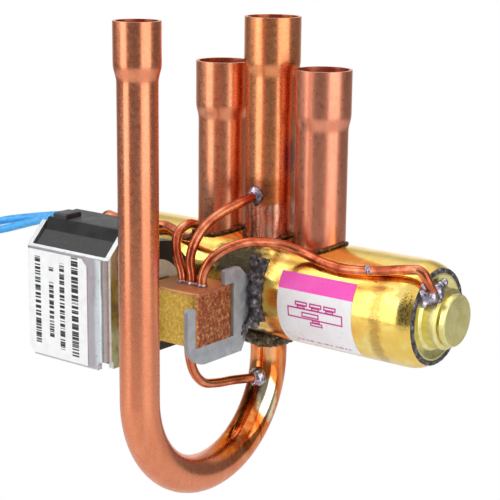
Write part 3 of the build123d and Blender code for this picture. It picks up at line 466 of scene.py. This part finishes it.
weld_scale = finish("dark_weld", tone(70, 66, 66), 0.55, 0.5)
crust = cloud(weld_scale, place(weld_scale), 800, 6, 0.65)
into(weld_scale, "Base Color",
     ramp(weld_scale, crust, (0.30, tone(40, 38, 40)), (0.50, tone(82, 78, 82)),
          (0.62, tone(128, 122, 126)), (0.74, tone(196, 190, 186))))
into(weld_scale, "Roughness", between(weld_scale, crust, 0.35, 0.7, 0.65, 0.32))
dented(weld_scale, cloud(weld_scale, place(weld_scale), 1900, 4), 0.00010)
for side in ("left", "right"):
    bead("weld_ring_" + side, "end_weld_" + side, weld_scale,
         grain=0.00028, lump=0.0016, height=0.00045)


# ---- pipes ----
# Four drawn copper tubes, each opened out to a socket at its mouth: three brazed side by side into
# the top, and a thinner one bent back in a U from below, its last stretch coloured by the torch.
# A near-white highlight is painted on the bend near its foot.
PIPE_PITCH = 0.0157       # between the three upper pipes
PIPE_FOOT_Z = -0.0592     # where they stand in the valve seat
SUCTION_TOP = 0.0         # mouth of the middle pipe
OUTER_TOP = -0.0121       # mouths of the pipes on either side of it
BENT_FOOT_Z = -0.0800     # where the bent pipe leaves the cylinder's bore
BENT_TOP = 0.00169
BEND_Z = -0.08753         # where the U bend starts and ends
BEND_RADIUS = 0.02529
# Radii are outside ones, and deep is the depth of the socket above its shoulder.
UPPER_TUBE = {"radius": 0.0065, "mouth": 0.00715, "deep": 0.0116, "shoulder": 0.0028, "wall": 0.00075}
BENT_TUBE = {"radius": 0.004765, "mouth": 0.00553, "deep": 0.01019, "shoulder": 0.0030, "wall": 0.0007}
EASE = 0.0011             # rounds a shoulder off, at each end
TUBE_SIDES = 80
FOOT_STEPS = 12           # rings of faces up to the shoulder
SHOULDER_STEPS = 20
BEND_STEPS = 48


def drawn_copper(name, light, deep, rough_low, rough_high):
    """Satin copper tube with long faint draw marks and fine specks; returns it and its colour."""
    skin = finish(name, light, 1.0, rough_high)
    marks = cloud(skin, place(skin, (1, 1, 0.10)), 520, 5)
    specks = cloud(skin, place(skin), 2500, 3)
    hue = ramp(skin, marks, (0.30, deep), (0.68, light))
    dark = tuple(v * 0.42 for v in deep)
    hue = layered(skin, between(skin, specks, 0.62, 0.76, 0, 0.34), hue, dark)
    worn = cloud(skin, place(skin), 900)
    into(skin, "Roughness", between(skin, worn, 0.3, 0.7, rough_low, rough_high))
    dented(skin, specks, 0.0000012)
    return skin, hue


def swaged(name, source, skin, foot, top, radius, mouth, deep, shoulder, wall, bent=False):
    """A tube drawn up from its foot, or bent down, round and up, its mouth swaged wide and deep."""
    bpy.ops.object.select_all(action="DESELECT")
    bpy.ops.mesh.primitive_circle_add(vertices=TUBE_SIDES, radius=radius, location=foot)
    tube = bpy.context.object
    tube.name = name
    bpy.ops.object.mode_set(mode="EDIT")
    bpy.ops.mesh.select_all(action="SELECT")
    at = Vector(foot)
    if bent:
        bpy.ops.mesh.extrude_region_move(TRANSFORM_OT_translate={"value": (0, 0, BEND_Z - at.z)})
        bpy.ops.mesh.spin(steps=BEND_STEPS, angle=pi, center=(0, -BEND_RADIUS, BEND_Z),
                          axis=(1, 0, 0))
        at = Vector((at.x, at.y - 2 * BEND_RADIUS, BEND_Z))
    low = top - deep - shoulder - EASE
    high = top - deep + EASE
    levels = [at.z + (low - at.z) * step / FOOT_STEPS for step in range(1, FOOT_STEPS)]
    levels += [low + (high - low) * step / SHOULDER_STEPS for step in range(SHOULDER_STEPS + 1)]
    levels.append(top)
    reach = radius
    for level in levels:
        t = min(max((level - low) / (high - low), 0), 1)
        eased = t ** 3 * (t * (6 * t - 15) + 10)
        wide = radius + (mouth - radius) * eased
        bpy.ops.mesh.extrude_region_move(TRANSFORM_OT_translate={"value": (0, 0, level - at.z)})
        at.z = level
        bpy.ops.transform.resize(value=(wide / reach, wide / reach, 1), center_override=at)
        reach = wide
    bpy.ops.mesh.select_all(action="SELECT")
    bpy.ops.mesh.remove_doubles(threshold=MERGE)
    bpy.ops.mesh.normals_make_consistent(inside=False)
    bpy.ops.object.mode_set(mode="OBJECT")
    bpy.ops.object.transform_apply(location=True, rotation=True, scale=True)
    thicken = tube.modifiers.new("wall", "SOLIDIFY")
    thicken.thickness = wall
    thicken.offset = -1
    bpy.ops.object.modifier_apply(modifier="wall")
    bpy.ops.object.shade_smooth_by_angle(angle=radians(35))
    stand_in(tube, source, skin)


copper_e, hue = drawn_copper("copper_inner", tone(240, 158, 120), tone(228, 140, 102), 0.25, 0.34)
into(copper_e, "Base Color", hue)
dress(copper_e, "shading_ring")
swaged("tube_e", "pipe_e", copper_e, foot=(-PIPE_PITCH, 0, PIPE_FOOT_Z), top=OUTER_TOP, **UPPER_TUBE)

copper_c, hue = drawn_copper("copper_outer", tone(240, 158, 128), tone(228, 142, 112), 0.27, 0.36)
into(copper_c, "Base Color", hue)
swaged("tube_c", "pipe_c", copper_c, foot=(PIPE_PITCH, 0, PIPE_FOOT_Z), top=OUTER_TOP, **UPPER_TUBE)

TAP = (0.0006, -0.0069, -0.0448)      # where the capillary enters the middle pipe
copper_s, hue = drawn_copper("copper_middle", tone(244, 160, 112), tone(230, 140, 92), 0.23, 0.32)
_, _, height = axes(copper_s)
wander = part_of(copper_s, cloud(copper_s, place(copper_s), 260, 4, 0.6, 1.2), 0.010)
flame = sum_of(copper_s, "ADD", height, wander)
hue = layered(copper_s, between(copper_s, flame, -0.0335, -0.0385, 0, 0.85), hue, tone(206, 112, 66))
swirl = node(copper_s, "TexWave", {"Vector": place(copper_s, (1, 1, 0.5))}, Scale=230, Distortion=9,
             Detail=2).outputs["Fac"]
pale_tan = ramp(copper_s, swirl, (0.20, tone(206, 128, 100)), (0.5, tone(242, 180, 152)))
hue = layered(copper_s, between(copper_s, flame, -0.0405, -0.0435), hue, pale_tan)
scorch = near(copper_s, (TAP[0] + 0.0004, TAP[1], TAP[2] + 0.0018), 0.0020, 0.0044, 0.0008, 700)
hue = layered(copper_s, part_of(copper_s, scorch, 0.7), hue, tone(132, 78, 58))
violet = near(copper_s, (0.0069, -0.0008, -0.0350), 0.0010, 0.0034, 0.0006, 500, (1, 1, 0.45))
hue = layered(copper_s, part_of(copper_s, violet, 0.7), hue, tone(150, 96, 110))
into(copper_s, "Base Color", hue)
swaged("tube_s", "pipe_s", copper_s, foot=(0, 0, PIPE_FOOT_Z), top=SUCTION_TOP, **UPPER_TUBE)

copper_d, hue = drawn_copper("copper_bent", tone(240, 153, 116), tone(229, 138, 101), 0.27, 0.35)
_, depth, height = axes(copper_d)
fired = part_of(copper_d, between(copper_d, depth, -0.0300, -0.0130),
                between(copper_d, height, -0.116, -0.106))
drips = cloud(copper_d, place(copper_d, (1, 1, 0.30)), 330, 5, 0.6, 0.8)
torched = ramp(copper_d, drips, (0.30, tone(120, 52, 26)), (0.42, tone(208, 92, 34)),
               (0.56, tone(240, 132, 66)), (0.72, tone(248, 184, 128)))
hue = layered(copper_d, fired, hue, torched)
soot = near(copper_d, (0.0006, -0.0066, -0.0965), 0.0012, 0.0036, 0.0010, 420, (1, 0.8, 0.42))
hue = layered(copper_d, part_of(copper_d, soot, 0.85), hue, tone(70, 40, 32))
run = near(copper_d, (0.0036, -0.0165, -0.1070), 0.0008, 0.0030, 0.0010, 500, (1, 0.5, 0.7))
hue = layered(copper_d, part_of(copper_d, run, 0.7), hue, tone(120, 44, 24))
# Painted highlight: a near-white streak on the bend near the pipe's foot.
near_white_highlight = near(copper_d, (0.0042, -0.0056, -0.0978), 0.0018, 0.0027, 0.0005, 420, (0.9, 0.8, 0.38))
hue = layered(copper_d, part_of(copper_d, near_white_highlight, 0.92), hue, tone(255, 248, 206))
into(copper_d, "Base Color", hue)
glaze = between(copper_d, cloud(copper_d, place(copper_d), 900), 0.3, 0.7, 0.22, 0.31)
into(copper_d, "Roughness", sum_of(copper_d, "SUBTRACT", glaze, part_of(copper_d, fired, 0.13)))
swaged("tube_d", "pipe_d", copper_d, foot=(0, 0, BENT_FOOT_Z), top=BENT_TOP, bent=True, **BENT_TUBE)

seam = finish("braze_seam", tone(92, 60, 40), 0.7, 0.5)
crumb = cloud(seam, place(seam), 1100, 5)
into(seam, "Base Color", ramp(seam, crumb, (0.35, tone(60, 40, 32)), (0.60, tone(124, 84, 50)),
                              (0.74, tone(190, 140, 84))))
into(seam, "Roughness", between(seam, crumb, 0.3, 0.7, 0.6, 0.35))
dented(seam, crumb, 0.00008)
for pipe in "esc":
    bead("seam_" + pipe, "braze_saddle_" + pipe, seam,
         grain=0.00030, lump=0.0010, height=0.00045)

collar_skin = finish("burnt_braze", tone(84, 74, 58), 0.6, 0.5)
crumb = cloud(collar_skin, place(collar_skin), 700, 6, 0.65)
into(collar_skin, "Base Color",
     ramp(collar_skin, crumb, (0.32, tone(40, 36, 32)), (0.50, tone(88, 80, 64)),
          (0.62, tone(136, 120, 84)), (0.72, tone(216, 172, 84))))
into(collar_skin, "Roughness", between(collar_skin, crumb, 0.3, 0.7, 0.62, 0.30))
dented(collar_skin, cloud(collar_skin, place(collar_skin), 1600, 4), 0.00012)
bead("collar_d", "braze_collar_d", collar_skin, grain=0.00030, lump=0.0014, height=0.0011)


# ---- valve seat and slide ----
# Inside the cylinder a lapped brass seat carries the three ports, and a moulded nylon slide,
# carried by a stamped steel strip, joins the middle port with one of its neighbours.
seat_brass = finish("seat_brass", tone(226, 200, 120), 1.0, 0.25)
lapped = cloud(seat_brass, place(seat_brass, (0.1, 1, 1)), 1500)
into(seat_brass, "Base Color",
     ramp(seat_brass, lapped, (0.3, tone(214, 186, 104)), (0.7, tone(234, 212, 136))))
dented(seat_brass, lapped, 0.00001)
dress(seat_brass, "valve_seat", "pilot_seat")
black_nylon = finish("black_nylon", tone(40, 40, 42), 0.0, 0.4)
moulded = cloud(black_nylon, place(black_nylon), 1500)
into(black_nylon, "Base Color", ramp(black_nylon, moulded, (0.3, tone(32, 32, 34)), (0.7, tone(50, 50, 52))))
dented(black_nylon, moulded, 0.00002)
dress(black_nylon, "main_slide", "pilot_slide")
steel = finish("bright_steel", tone(196, 196, 194), 1.0, 0.3)
rolled = cloud(steel, place(steel, (0.15, 1, 1)), 1500)
into(steel, "Base Color", ramp(steel, rolled, (0.3, tone(180, 180, 180)), (0.7, tone(208, 208, 206))))
dented(steel, rolled, 0.00001)
dress(steel, "slide_frame", "slide_spring")


# ---- pistons ----
# A piston on each end of the strip: a filled plastic cup seal held open by a leaf spring, between
# a steel plate and a cover, all screwed to the strip.
sealing = finish("sealing_plastic", tone(120, 96, 70), 0.0, 0.5)
filled = cloud(sealing, place(sealing), 1800, 5)
into(sealing, "Base Color", ramp(sealing, filled, (0.3, tone(104, 82, 60)), (0.7, tone(136, 112, 82))))
dented(sealing, filled, 0.00002)
dress(sealing, "piston_seal_left", "piston_seal_right")
dress(steel, "piston_plate_left", "piston_plate_right", "piston_cover_left", "piston_cover_right",
      "seal_spring_left", "seal_spring_right", "piston_screws")


# ---- body label ----
# A foil label wrapped round the front of the cylinder: a bright pink band along its top, and under
# it, printed in magenta, the outline of the cylinder with its slide and its four ports.
DEGREES_PER_MM = 4.24     # round the cylinder
INK_EDGE = 0.00004        # blur of a printed edge, in metres along
INK_EDGE_TURN = 0.17      # and in degrees round
label_film = finish("body_label_film", tone(236, 236, 240), 0.0, 0.32)
along, turn = round_cylinder(label_film)


def box_mark(x, x_half, angle, angle_half):
    """1 inside a box of the label: millimetres along the cylinder, degrees round it."""
    wide = within(label_film, along, (x - x_half) / 1000, (x + x_half) / 1000, INK_EDGE)
    tall = within(label_film, turn, angle - angle_half, angle + angle_half, INK_EDGE_TURN)
    return part_of(label_film, wide, tall)


def outline(x, x_half, angle, angle_half, pen=0.40):
    """The printed outline of a box, drawn with a pen of that many millimetres."""
    inner = box_mark(x, x_half - pen, angle, angle_half - pen * DEGREES_PER_MM)
    return sum_of(label_film, "SUBTRACT", box_mark(x, x_half, angle, angle_half), inner)


# The cylinder, the slide in it, and a wide mouth and a narrow neck for each of the four ports.
FINE_PEN = 0.38
marks = [outline(23.9, 8.2, 97.4, 6.0), outline(22.5, 2.6, 98.3, 2.9, FINE_PEN)]
for port_x, port_angle, side in ((19.8, 87.0, 1), (24.1, 87.0, 1), (28.3, 87.0, 1), (24.1, 108.0, -1)):
    marks.append(outline(port_x, 1.85, port_angle, 2.4, FINE_PEN))
    marks.append(outline(port_x, 1.20, port_angle + side * 3.6, 2.0, FINE_PEN))
printed = marks[0]
for mark in marks[1:]:
    printed = sum_of(label_film, "MAXIMUM", printed, mark)
dash = between(label_film, cloud(label_film, place(label_film, (1, 0, 0)), 900, 2), 0.46, 0.50)
row = part_of(label_film, dash, within(label_film, turn, 134.5, 138.0, 0.3),
              within(label_film, along, 0.0160, 0.0322, 0.0002))
printed = sum_of(label_film, "MAXIMUM", printed, part_of(label_film, row, 0.8))
paper = ramp(label_film, cloud(label_film, place(label_film), 260, 3),
             (0.3, tone(240, 240, 244)), (0.7, tone(250, 250, 252)))
hue = layered(label_film, within(label_film, turn, 50, 74.3, 0.3), paper, tone(255, 84, 196))
into(label_film, "Base Color", layered(label_film, printed, hue, tone(196, 36, 140)))
handled = cloud(label_film, place(label_film), 500)
into(label_film, "Roughness", between(label_film, handled, 0.3, 0.7, 0.26, 0.40))
dented(label_film, cloud(label_film, place(label_film), 420), 0.00003)
dress(label_film, "body_label")


# ---- pilot valve ----
# A small block sawn from brass bar with a stainless tube soldered into it.  A plunger in the tube
# works the pilot slide, and a bent steel plate, welded to the cylinder, clasps the block.
block_brass = finish("sawn_brass", tone(206, 172, 88), 1.0, 0.42)
sideways, _, upward = axes(block_brass)
sawn = cloud(block_brass, place(block_brass), 1300, 7, 0.7)
hue = ramp(block_brass, sawn, (0.32, tone(176, 134, 54)), (0.50, tone(214, 176, 84)),
           (0.68, tone(240, 212, 128)))
pits = between(block_brass, cloud(block_brass, place(block_brass), 2100, 3), 0.60, 0.70)
hue = layered(block_brass, part_of(block_brass, pits, 0.6), hue, tone(120, 88, 36))
etched = cloud(block_brass, place(block_brass), 950, 6, 0.75)
end_face = ramp(block_brass, etched, (0.36, tone(124, 66, 48)), (0.52, tone(176, 102, 74)),
                (0.62, tone(214, 174, 112)))
hue = layered(block_brass, between(block_brass, sideways, 0.0034, 0.0040), hue, end_face)
hue = layered(block_brass, part_of(block_brass, between(block_brass, upward, -0.0655, -0.0642), 0.7),
              hue, tone(206, 140, 112))
into(block_brass, "Base Color", hue)
into(block_brass, "Roughness", between(block_brass, sawn, 0.3, 0.7, 0.36, 0.55))
dented(block_brass, sawn, 0.00006)
dress(block_brass, "pilot_body")

stainless = finish("stainless_tube", tone(198, 196, 192), 1.0, 0.26)
drawn = cloud(stainless, place(stainless, (0.1, 1, 1)), 1200)
into(stainless, "Base Color",
     ramp(stainless, drawn, (0.3, tone(182, 180, 176)), (0.7, tone(210, 208, 204))))
dented(stainless, drawn, 0.00001)
dress(stainless, "pilot_tube", "fixed_core")
dress(steel, "plunger")

# The plunger's return spring is wound from steel wire, its left end on the fixed core.
low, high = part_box("plunger_spring")
return_spring = merged_copy("return_spring", "plunger_spring")
stand_in(return_spring, "plunger_spring", steel)
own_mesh(return_spring)

plate_steel = finish("matt_plate", tone(170, 173, 178), 0.55, 0.52)
mottle = cloud(plate_steel, place(plate_steel), 420, 6, 0.6)
hue = ramp(plate_steel, mottle, (0.30, tone(156, 159, 164)), (0.55, tone(172, 175, 180)),
           (0.72, tone(190, 192, 196)))
drip = near(plate_steel, (0.0040, -0.0152, -0.0765), 0.0004, 0.0016, 0.0006, 700, (1, 1, 0.32))
hue = layered(plate_steel, part_of(plate_steel, drip, 0.9), hue, tone(70, 66, 64))
into(plate_steel, "Base Color", hue)
into(plate_steel, "Roughness", between(plate_steel, mottle, 0.3, 0.7, 0.46, 0.6))
dented(plate_steel, cloud(plate_steel, place(plate_steel), 1500, 5), 0.00004)
dress(plate_steel, "pilot_bracket")
bead("plate_weld", "bracket_weld", weld_scale, grain=0.00025, lump=0.0022, height=0.0008)


# ---- capillaries ----
# Four thin copper tubes: three from the top of the block to the middle pipe and to the two ends
# of the cylinder, and one from its foot to the bent pipe, each set in a drop of silver solder.
# Solder and weld metal that ran further are made here too, as they lie over the joints.
thin_copper = finish("capillary_copper", tone(214, 126, 92), 1.0, 0.26)
tint = cloud(thin_copper, place(thin_copper), 170, 5, 0.6, 0.6)
hue = ramp(thin_copper, tint, (0.32, tone(150, 70, 48)), (0.48, tone(206, 112, 78)),
           (0.66, tone(232, 152, 114)))
specks = between(thin_copper, cloud(thin_copper, place(thin_copper), 2300, 3), 0.6, 0.72, 0, 0.5)
hue = layered(thin_copper, specks, hue, tone(96, 46, 34))
into(thin_copper, "Base Color", hue)
into(thin_copper, "Roughness", between(thin_copper, tint, 0.3, 0.7, 0.30, 0.20))
dented(thin_copper, cloud(thin_copper, place(thin_copper), 1400), 0.00002)
dress(thin_copper, "capillary_d", "capillary_s", "capillary_left", "capillary_right")

silver = finish("silver_solder", tone(206, 204, 204), 1.0, 0.24)
drop = cloud(silver, place(silver), 520, 6, 0.65)
into(silver, "Base Color", ramp(silver, drop, (0.32, tone(70, 62, 68)), (0.43, tone(136, 126, 142)),
                                (0.55, tone(188, 180, 194)), (0.70, tone(226, 222, 224))))
into(silver, "Roughness", between(silver, drop, 0.3, 0.7, 0.40, 0.18))
dented(silver, cloud(silver, place(silver), 1500, 4), 0.00004)
bead("block_drops", "pilot_solder", silver, grain=0.00022, lump=0.0008, height=0.0003)
for side in ("left", "right"):
    bead("hub_drop_" + side, "hub_solder_" + side, silver,
         grain=0.00022, lump=0.0010, height=0.0006)
bead("suction_drop", "s_tap_solder", silver, grain=0.00022, lump=0.0011, height=0.0007)
bead("discharge_drop", "d_tap_solder", silver, grain=0.00025, lump=0.0012, height=0.0009)


def puddle(name, skin, drops, grain, lump, height):
    """Metal that has run: drops (x, y, height over the axis, radius) in mm, melted together."""
    bpy.ops.object.select_all(action="DESELECT")
    made = []
    for x, y, z, radius in drops:
        bpy.ops.mesh.primitive_ico_sphere_add(subdivisions=3, radius=radius / 1000,
                                              location=(x / 1000, y / 1000, z / 1000 + AXIS_Z))
        made.append(bpy.context.object)
    for each in made:
        each.select_set(True)
    bpy.context.view_layer.objects.active = made[0]
    if len(made) > 1:
        bpy.ops.object.join()
    bpy.ops.object.transform_apply(location=True, rotation=True, scale=True)
    piece = bpy.context.object
    piece.name = name
    knobble(piece, grain, lump, height)
    piece.data.materials.append(skin)
    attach(piece, "valve")


RUN = ((50.8, -6.2, 8.9, 1.6), (51.0, -7.4, 7.0, 1.6), (51.0, -7.9, 5.0, 1.1), (51.6, -5.9, 6.4, 2.1),
       (51.7, -3.6, 7.5, 1.8), (51.6, -1.8, 8.2, 1.5), (51.5, 0.4, 8.6, 1.1), (52.7, -4.3, 5.9, 1.5))
LEFT_RUN = [(-x, y, z, r) for x, y, z, r in RUN]
puddle("solder_run_right", silver, RUN, grain=0.00025, lump=0.0020, height=0.0010)
puddle("solder_run_left", silver, LEFT_RUN, grain=0.00025, lump=0.0020, height=0.0010)
CRUST = ((5.0, -13.4, 8.4, 1.2), (5.4, -13.8, 5.4, 1.5), (5.6, -14.1, 2.0, 1.6), (5.6, -14.1, -1.4, 1.6),
         (5.3, -13.5, -4.6, 1.5), (4.8, -12.5, -7.4, 1.4), (4.2, -14.4, -6.6, 1.1), (3.9, -15.9, -7.6, 0.8),
         (3.9, -16.4, -9.2, 0.6), (6.6, -13.2, 3.8, 0.9), (6.7, -13.3, -3.0, 0.9), (4.4, -12.6, 9.6, 1.0))
puddle("plate_weld_crust", weld_scale, CRUST, grain=0.00028, lump=0.0030, height=0.0006)
SPATTER_REACH = 5.5       # from the middle of the bent pipe's foot, all round it
SPATTER = [(SPATTER_REACH * cos(radians(a)), SPATTER_REACH * sin(radians(a)), z, r) for a, z, r in (
    (-165, -13.4, 1.3), (-140, -14.9, 1.2), (-112, -13.2, 1.5), (-84, -14.8, 1.3), (-60, -13.4, 1.5),
    (-32, -14.6, 1.2), (-8, -13.6, 1.4), (25, -14.6, 1.2))]
puddle("collar_crust", collar_skin, SPATTER, grain=0.00028, lump=0.0022, height=0.0012)
TACK = ((36.8, -10.25, 11.6, 0.95), (37.5, -10.55, 11.1, 0.75))
puddle("solder_tack", silver, TACK, grain=0.00016, lump=0.0007, height=0.0004)


# ---- coil ----
# An encapsulated coil in a frame bent from zinc plated strip, pushed over the tube and held by a
# screw at its end.  The moulding is glass filled nylon, with the winding on a bobbin inside it.
plated = finish("zinc_plate", tone(206, 208, 208), 1.0, 0.34)
sideways, forward, upward = axes(plated)
wander = sum_of(plated, "MULTIPLY", cloud(plated, place(plated, (1, 1, 0.3)), 420, 5), 0.0014)
web_place = sum_of(plated, "ADD", sideways, wander)
# Across the front of the web towards the right leg: a mauve tint of the plating, then a pale blue highlight
# painted where the web bends round, a dark line of painted shade in the bend, and a white highlight painted
# along the edge.
web_tint_and_shading = ramp(plated, between(plated, web_place, -0.0200, -0.0132, soft=False), (0.10, tone(190, 180, 188)),
           (0.42, tone(186, 180, 188)), (0.56, tone(214, 222, 226)), (0.72, tone(220, 226, 228)),
           (0.82, tone(128, 106, 104)), (0.92, tone(236, 236, 234)))
# Painted reflection: the outside of the right leg is coloured olive and yellow, for the brass cylinder
# reflected in it, between patches of the plate's own grey.
leg_brass_reflection = ramp(plated, cloud(plated, place(plated, (1, 1, 0.5)), 210, 5, 0.6, 1.0),
           (0.32, tone(122, 112, 100)), (0.46, tone(176, 172, 120)), (0.58, tone(196, 196, 160)),
           (0.72, tone(206, 208, 210)))
silver_grey = ramp(plated, cloud(plated, place(plated), 300, 5), (0.3, tone(206, 210, 212)),
                   (0.7, tone(226, 228, 228)))
beside_label = part_of(plated, between(plated, forward, -0.0468, -0.0471),
                       within(plated, upward, -0.0842, -0.0562, 0.0003))
hue = layered(plated, beside_label, silver_grey, web_tint_and_shading)
hue = layered(plated, between(plated, sideways, -0.01388, -0.01382), hue, leg_brass_reflection)
spangle = cloud(plated, place(plated), 1700, 4)
hue = layered(plated, between(plated, spangle, 0.58, 0.72, 0, 0.4), hue, tone(120, 116, 120))
into(plated, "Base Color", hue)
into(plated, "Roughness", between(plated, cloud(plated, place(plated), 500), 0.3, 0.7, 0.28, 0.42))
dented(plated, spangle, 0.000015)
dress(plated, "coil_frame")

bright = finish("bright_zinc", tone(206, 208, 208), 1.0, 0.30)
bloom = cloud(bright, place(bright), 600, 5)
into(bright, "Base Color", ramp(bright, bloom, (0.3, tone(186, 188, 190)), (0.7, tone(216, 218, 218))))
dented(bright, bloom, 0.00001)
dress(bright, "coil_washer", "coil_screw")

black = finish("black_moulding", tone(38, 38, 40), 0.0, 0.45, Specular_IOR_Level=0.6)
grit = cloud(black, place(black), 3000, 3)
smear = cloud(black, place(black), 260, 4)
hue = ramp(black, smear, (0.3, tone(34, 34, 36)), (0.7, tone(50, 50, 52)))
hue = layered(black, between(black, grit, 0.64, 0.72, 0, 0.6), hue, tone(128, 128, 128))
_, _, upward = axes(black)
# Painted shade: the steep band under the head of the moulding is painted near black, for the shade it lies
# in.
band = within(black, upward, -0.0531, -0.0502, 0.0001)
into(black, "Base Color", layered(black, part_of(black, band, 0.9), hue, tone(8, 8, 9)))
satin = between(black, smear, 0.3, 0.7, 0.38, 0.52)
into(black, "Roughness", sum_of(black, "ADD", satin, part_of(black, band, 0.3)))
dented(black, grit, 0.00003)
dress(black, "coil_moulding")
natural = finish("natural_plastic", tone(226, 220, 200), 0.0, 0.4)
milky = cloud(natural, place(natural), 1200)
into(natural, "Base Color", ramp(natural, milky, (0.3, tone(218, 210, 188)), (0.7, tone(232, 228, 210))))
dented(natural, milky, 0.00002)
dress(natural, "coil_bobbin")
wire = finish("enamelled_wire", tone(150, 74, 40), 1.0, 0.3)
turns = node(wire, "TexWave", {"Vector": place(wire)}, Scale=800, bands_direction="X").outputs["Fac"]
into(wire, "Base Color", ramp(wire, turns, (0.1, tone(96, 42, 22)), (0.6, tone(168, 86, 48))))
dented(wire, turns, 0.0001)
dress(wire, "coil_winding")


# ---- coil label ----
# A white film label on the flat of the frame.  Four rows of plain dark dashes, turned on their
# side, stand in the place of its printing.
white_film = finish("coil_label_film", tone(240, 240, 240), 0.0, 0.42)
sideways, _, upward = axes(white_film)
inked = 0.0
for row_x, half, top, low, seed in ((-24.1, 1.15, 12.2, -13.6, 0.0), (-28.5, 0.85, 10.8, -12.6, 0.1),
                                    (-32.2, 0.80, 8.0, -10.2, 0.2), (-36.9, 0.95, 10.2, -12.2, 0.3)):
    strokes = cloud(white_film, place(white_film, (0, 0, 1), (0, 0, seed)), 1500, 2)
    words = cloud(white_film, place(white_film, (0, 0, 1), (0, 0, seed + 0.05)), 190, 0)
    stroke = part_of(white_film, between(white_film, strokes, 0.46, 0.50),
                     between(white_film, words, 0.34, 0.38))
    row = part_of(white_film, stroke,
                  within(white_film, sideways, (row_x - half) / 1000, (row_x + half) / 1000, 0.00008),
                  within(white_film, upward, low / 1000 + AXIS_Z, top / 1000 + AXIS_Z, 0.0001))
    inked = sum_of(white_film, "MAXIMUM", inked, row)
paper = ramp(white_film, cloud(white_film, place(white_film), 420, 5), (0.3, tone(232, 232, 232)),
             (0.7, tone(244, 244, 244)))
into(white_film, "Base Color", layered(white_film, inked, paper, tone(34, 34, 36)))
handled = cloud(white_film, place(white_film), 900)
into(white_film, "Roughness", between(white_film, handled, 0.3, 0.7, 0.36, 0.5))
dented(white_film, cloud(white_film, place(white_film), 1100, 4), 0.00004)
dress(white_film, "coil_label")


# ---- view transform ----
bpy.context.scene.view_settings.view_transform = "Standard"
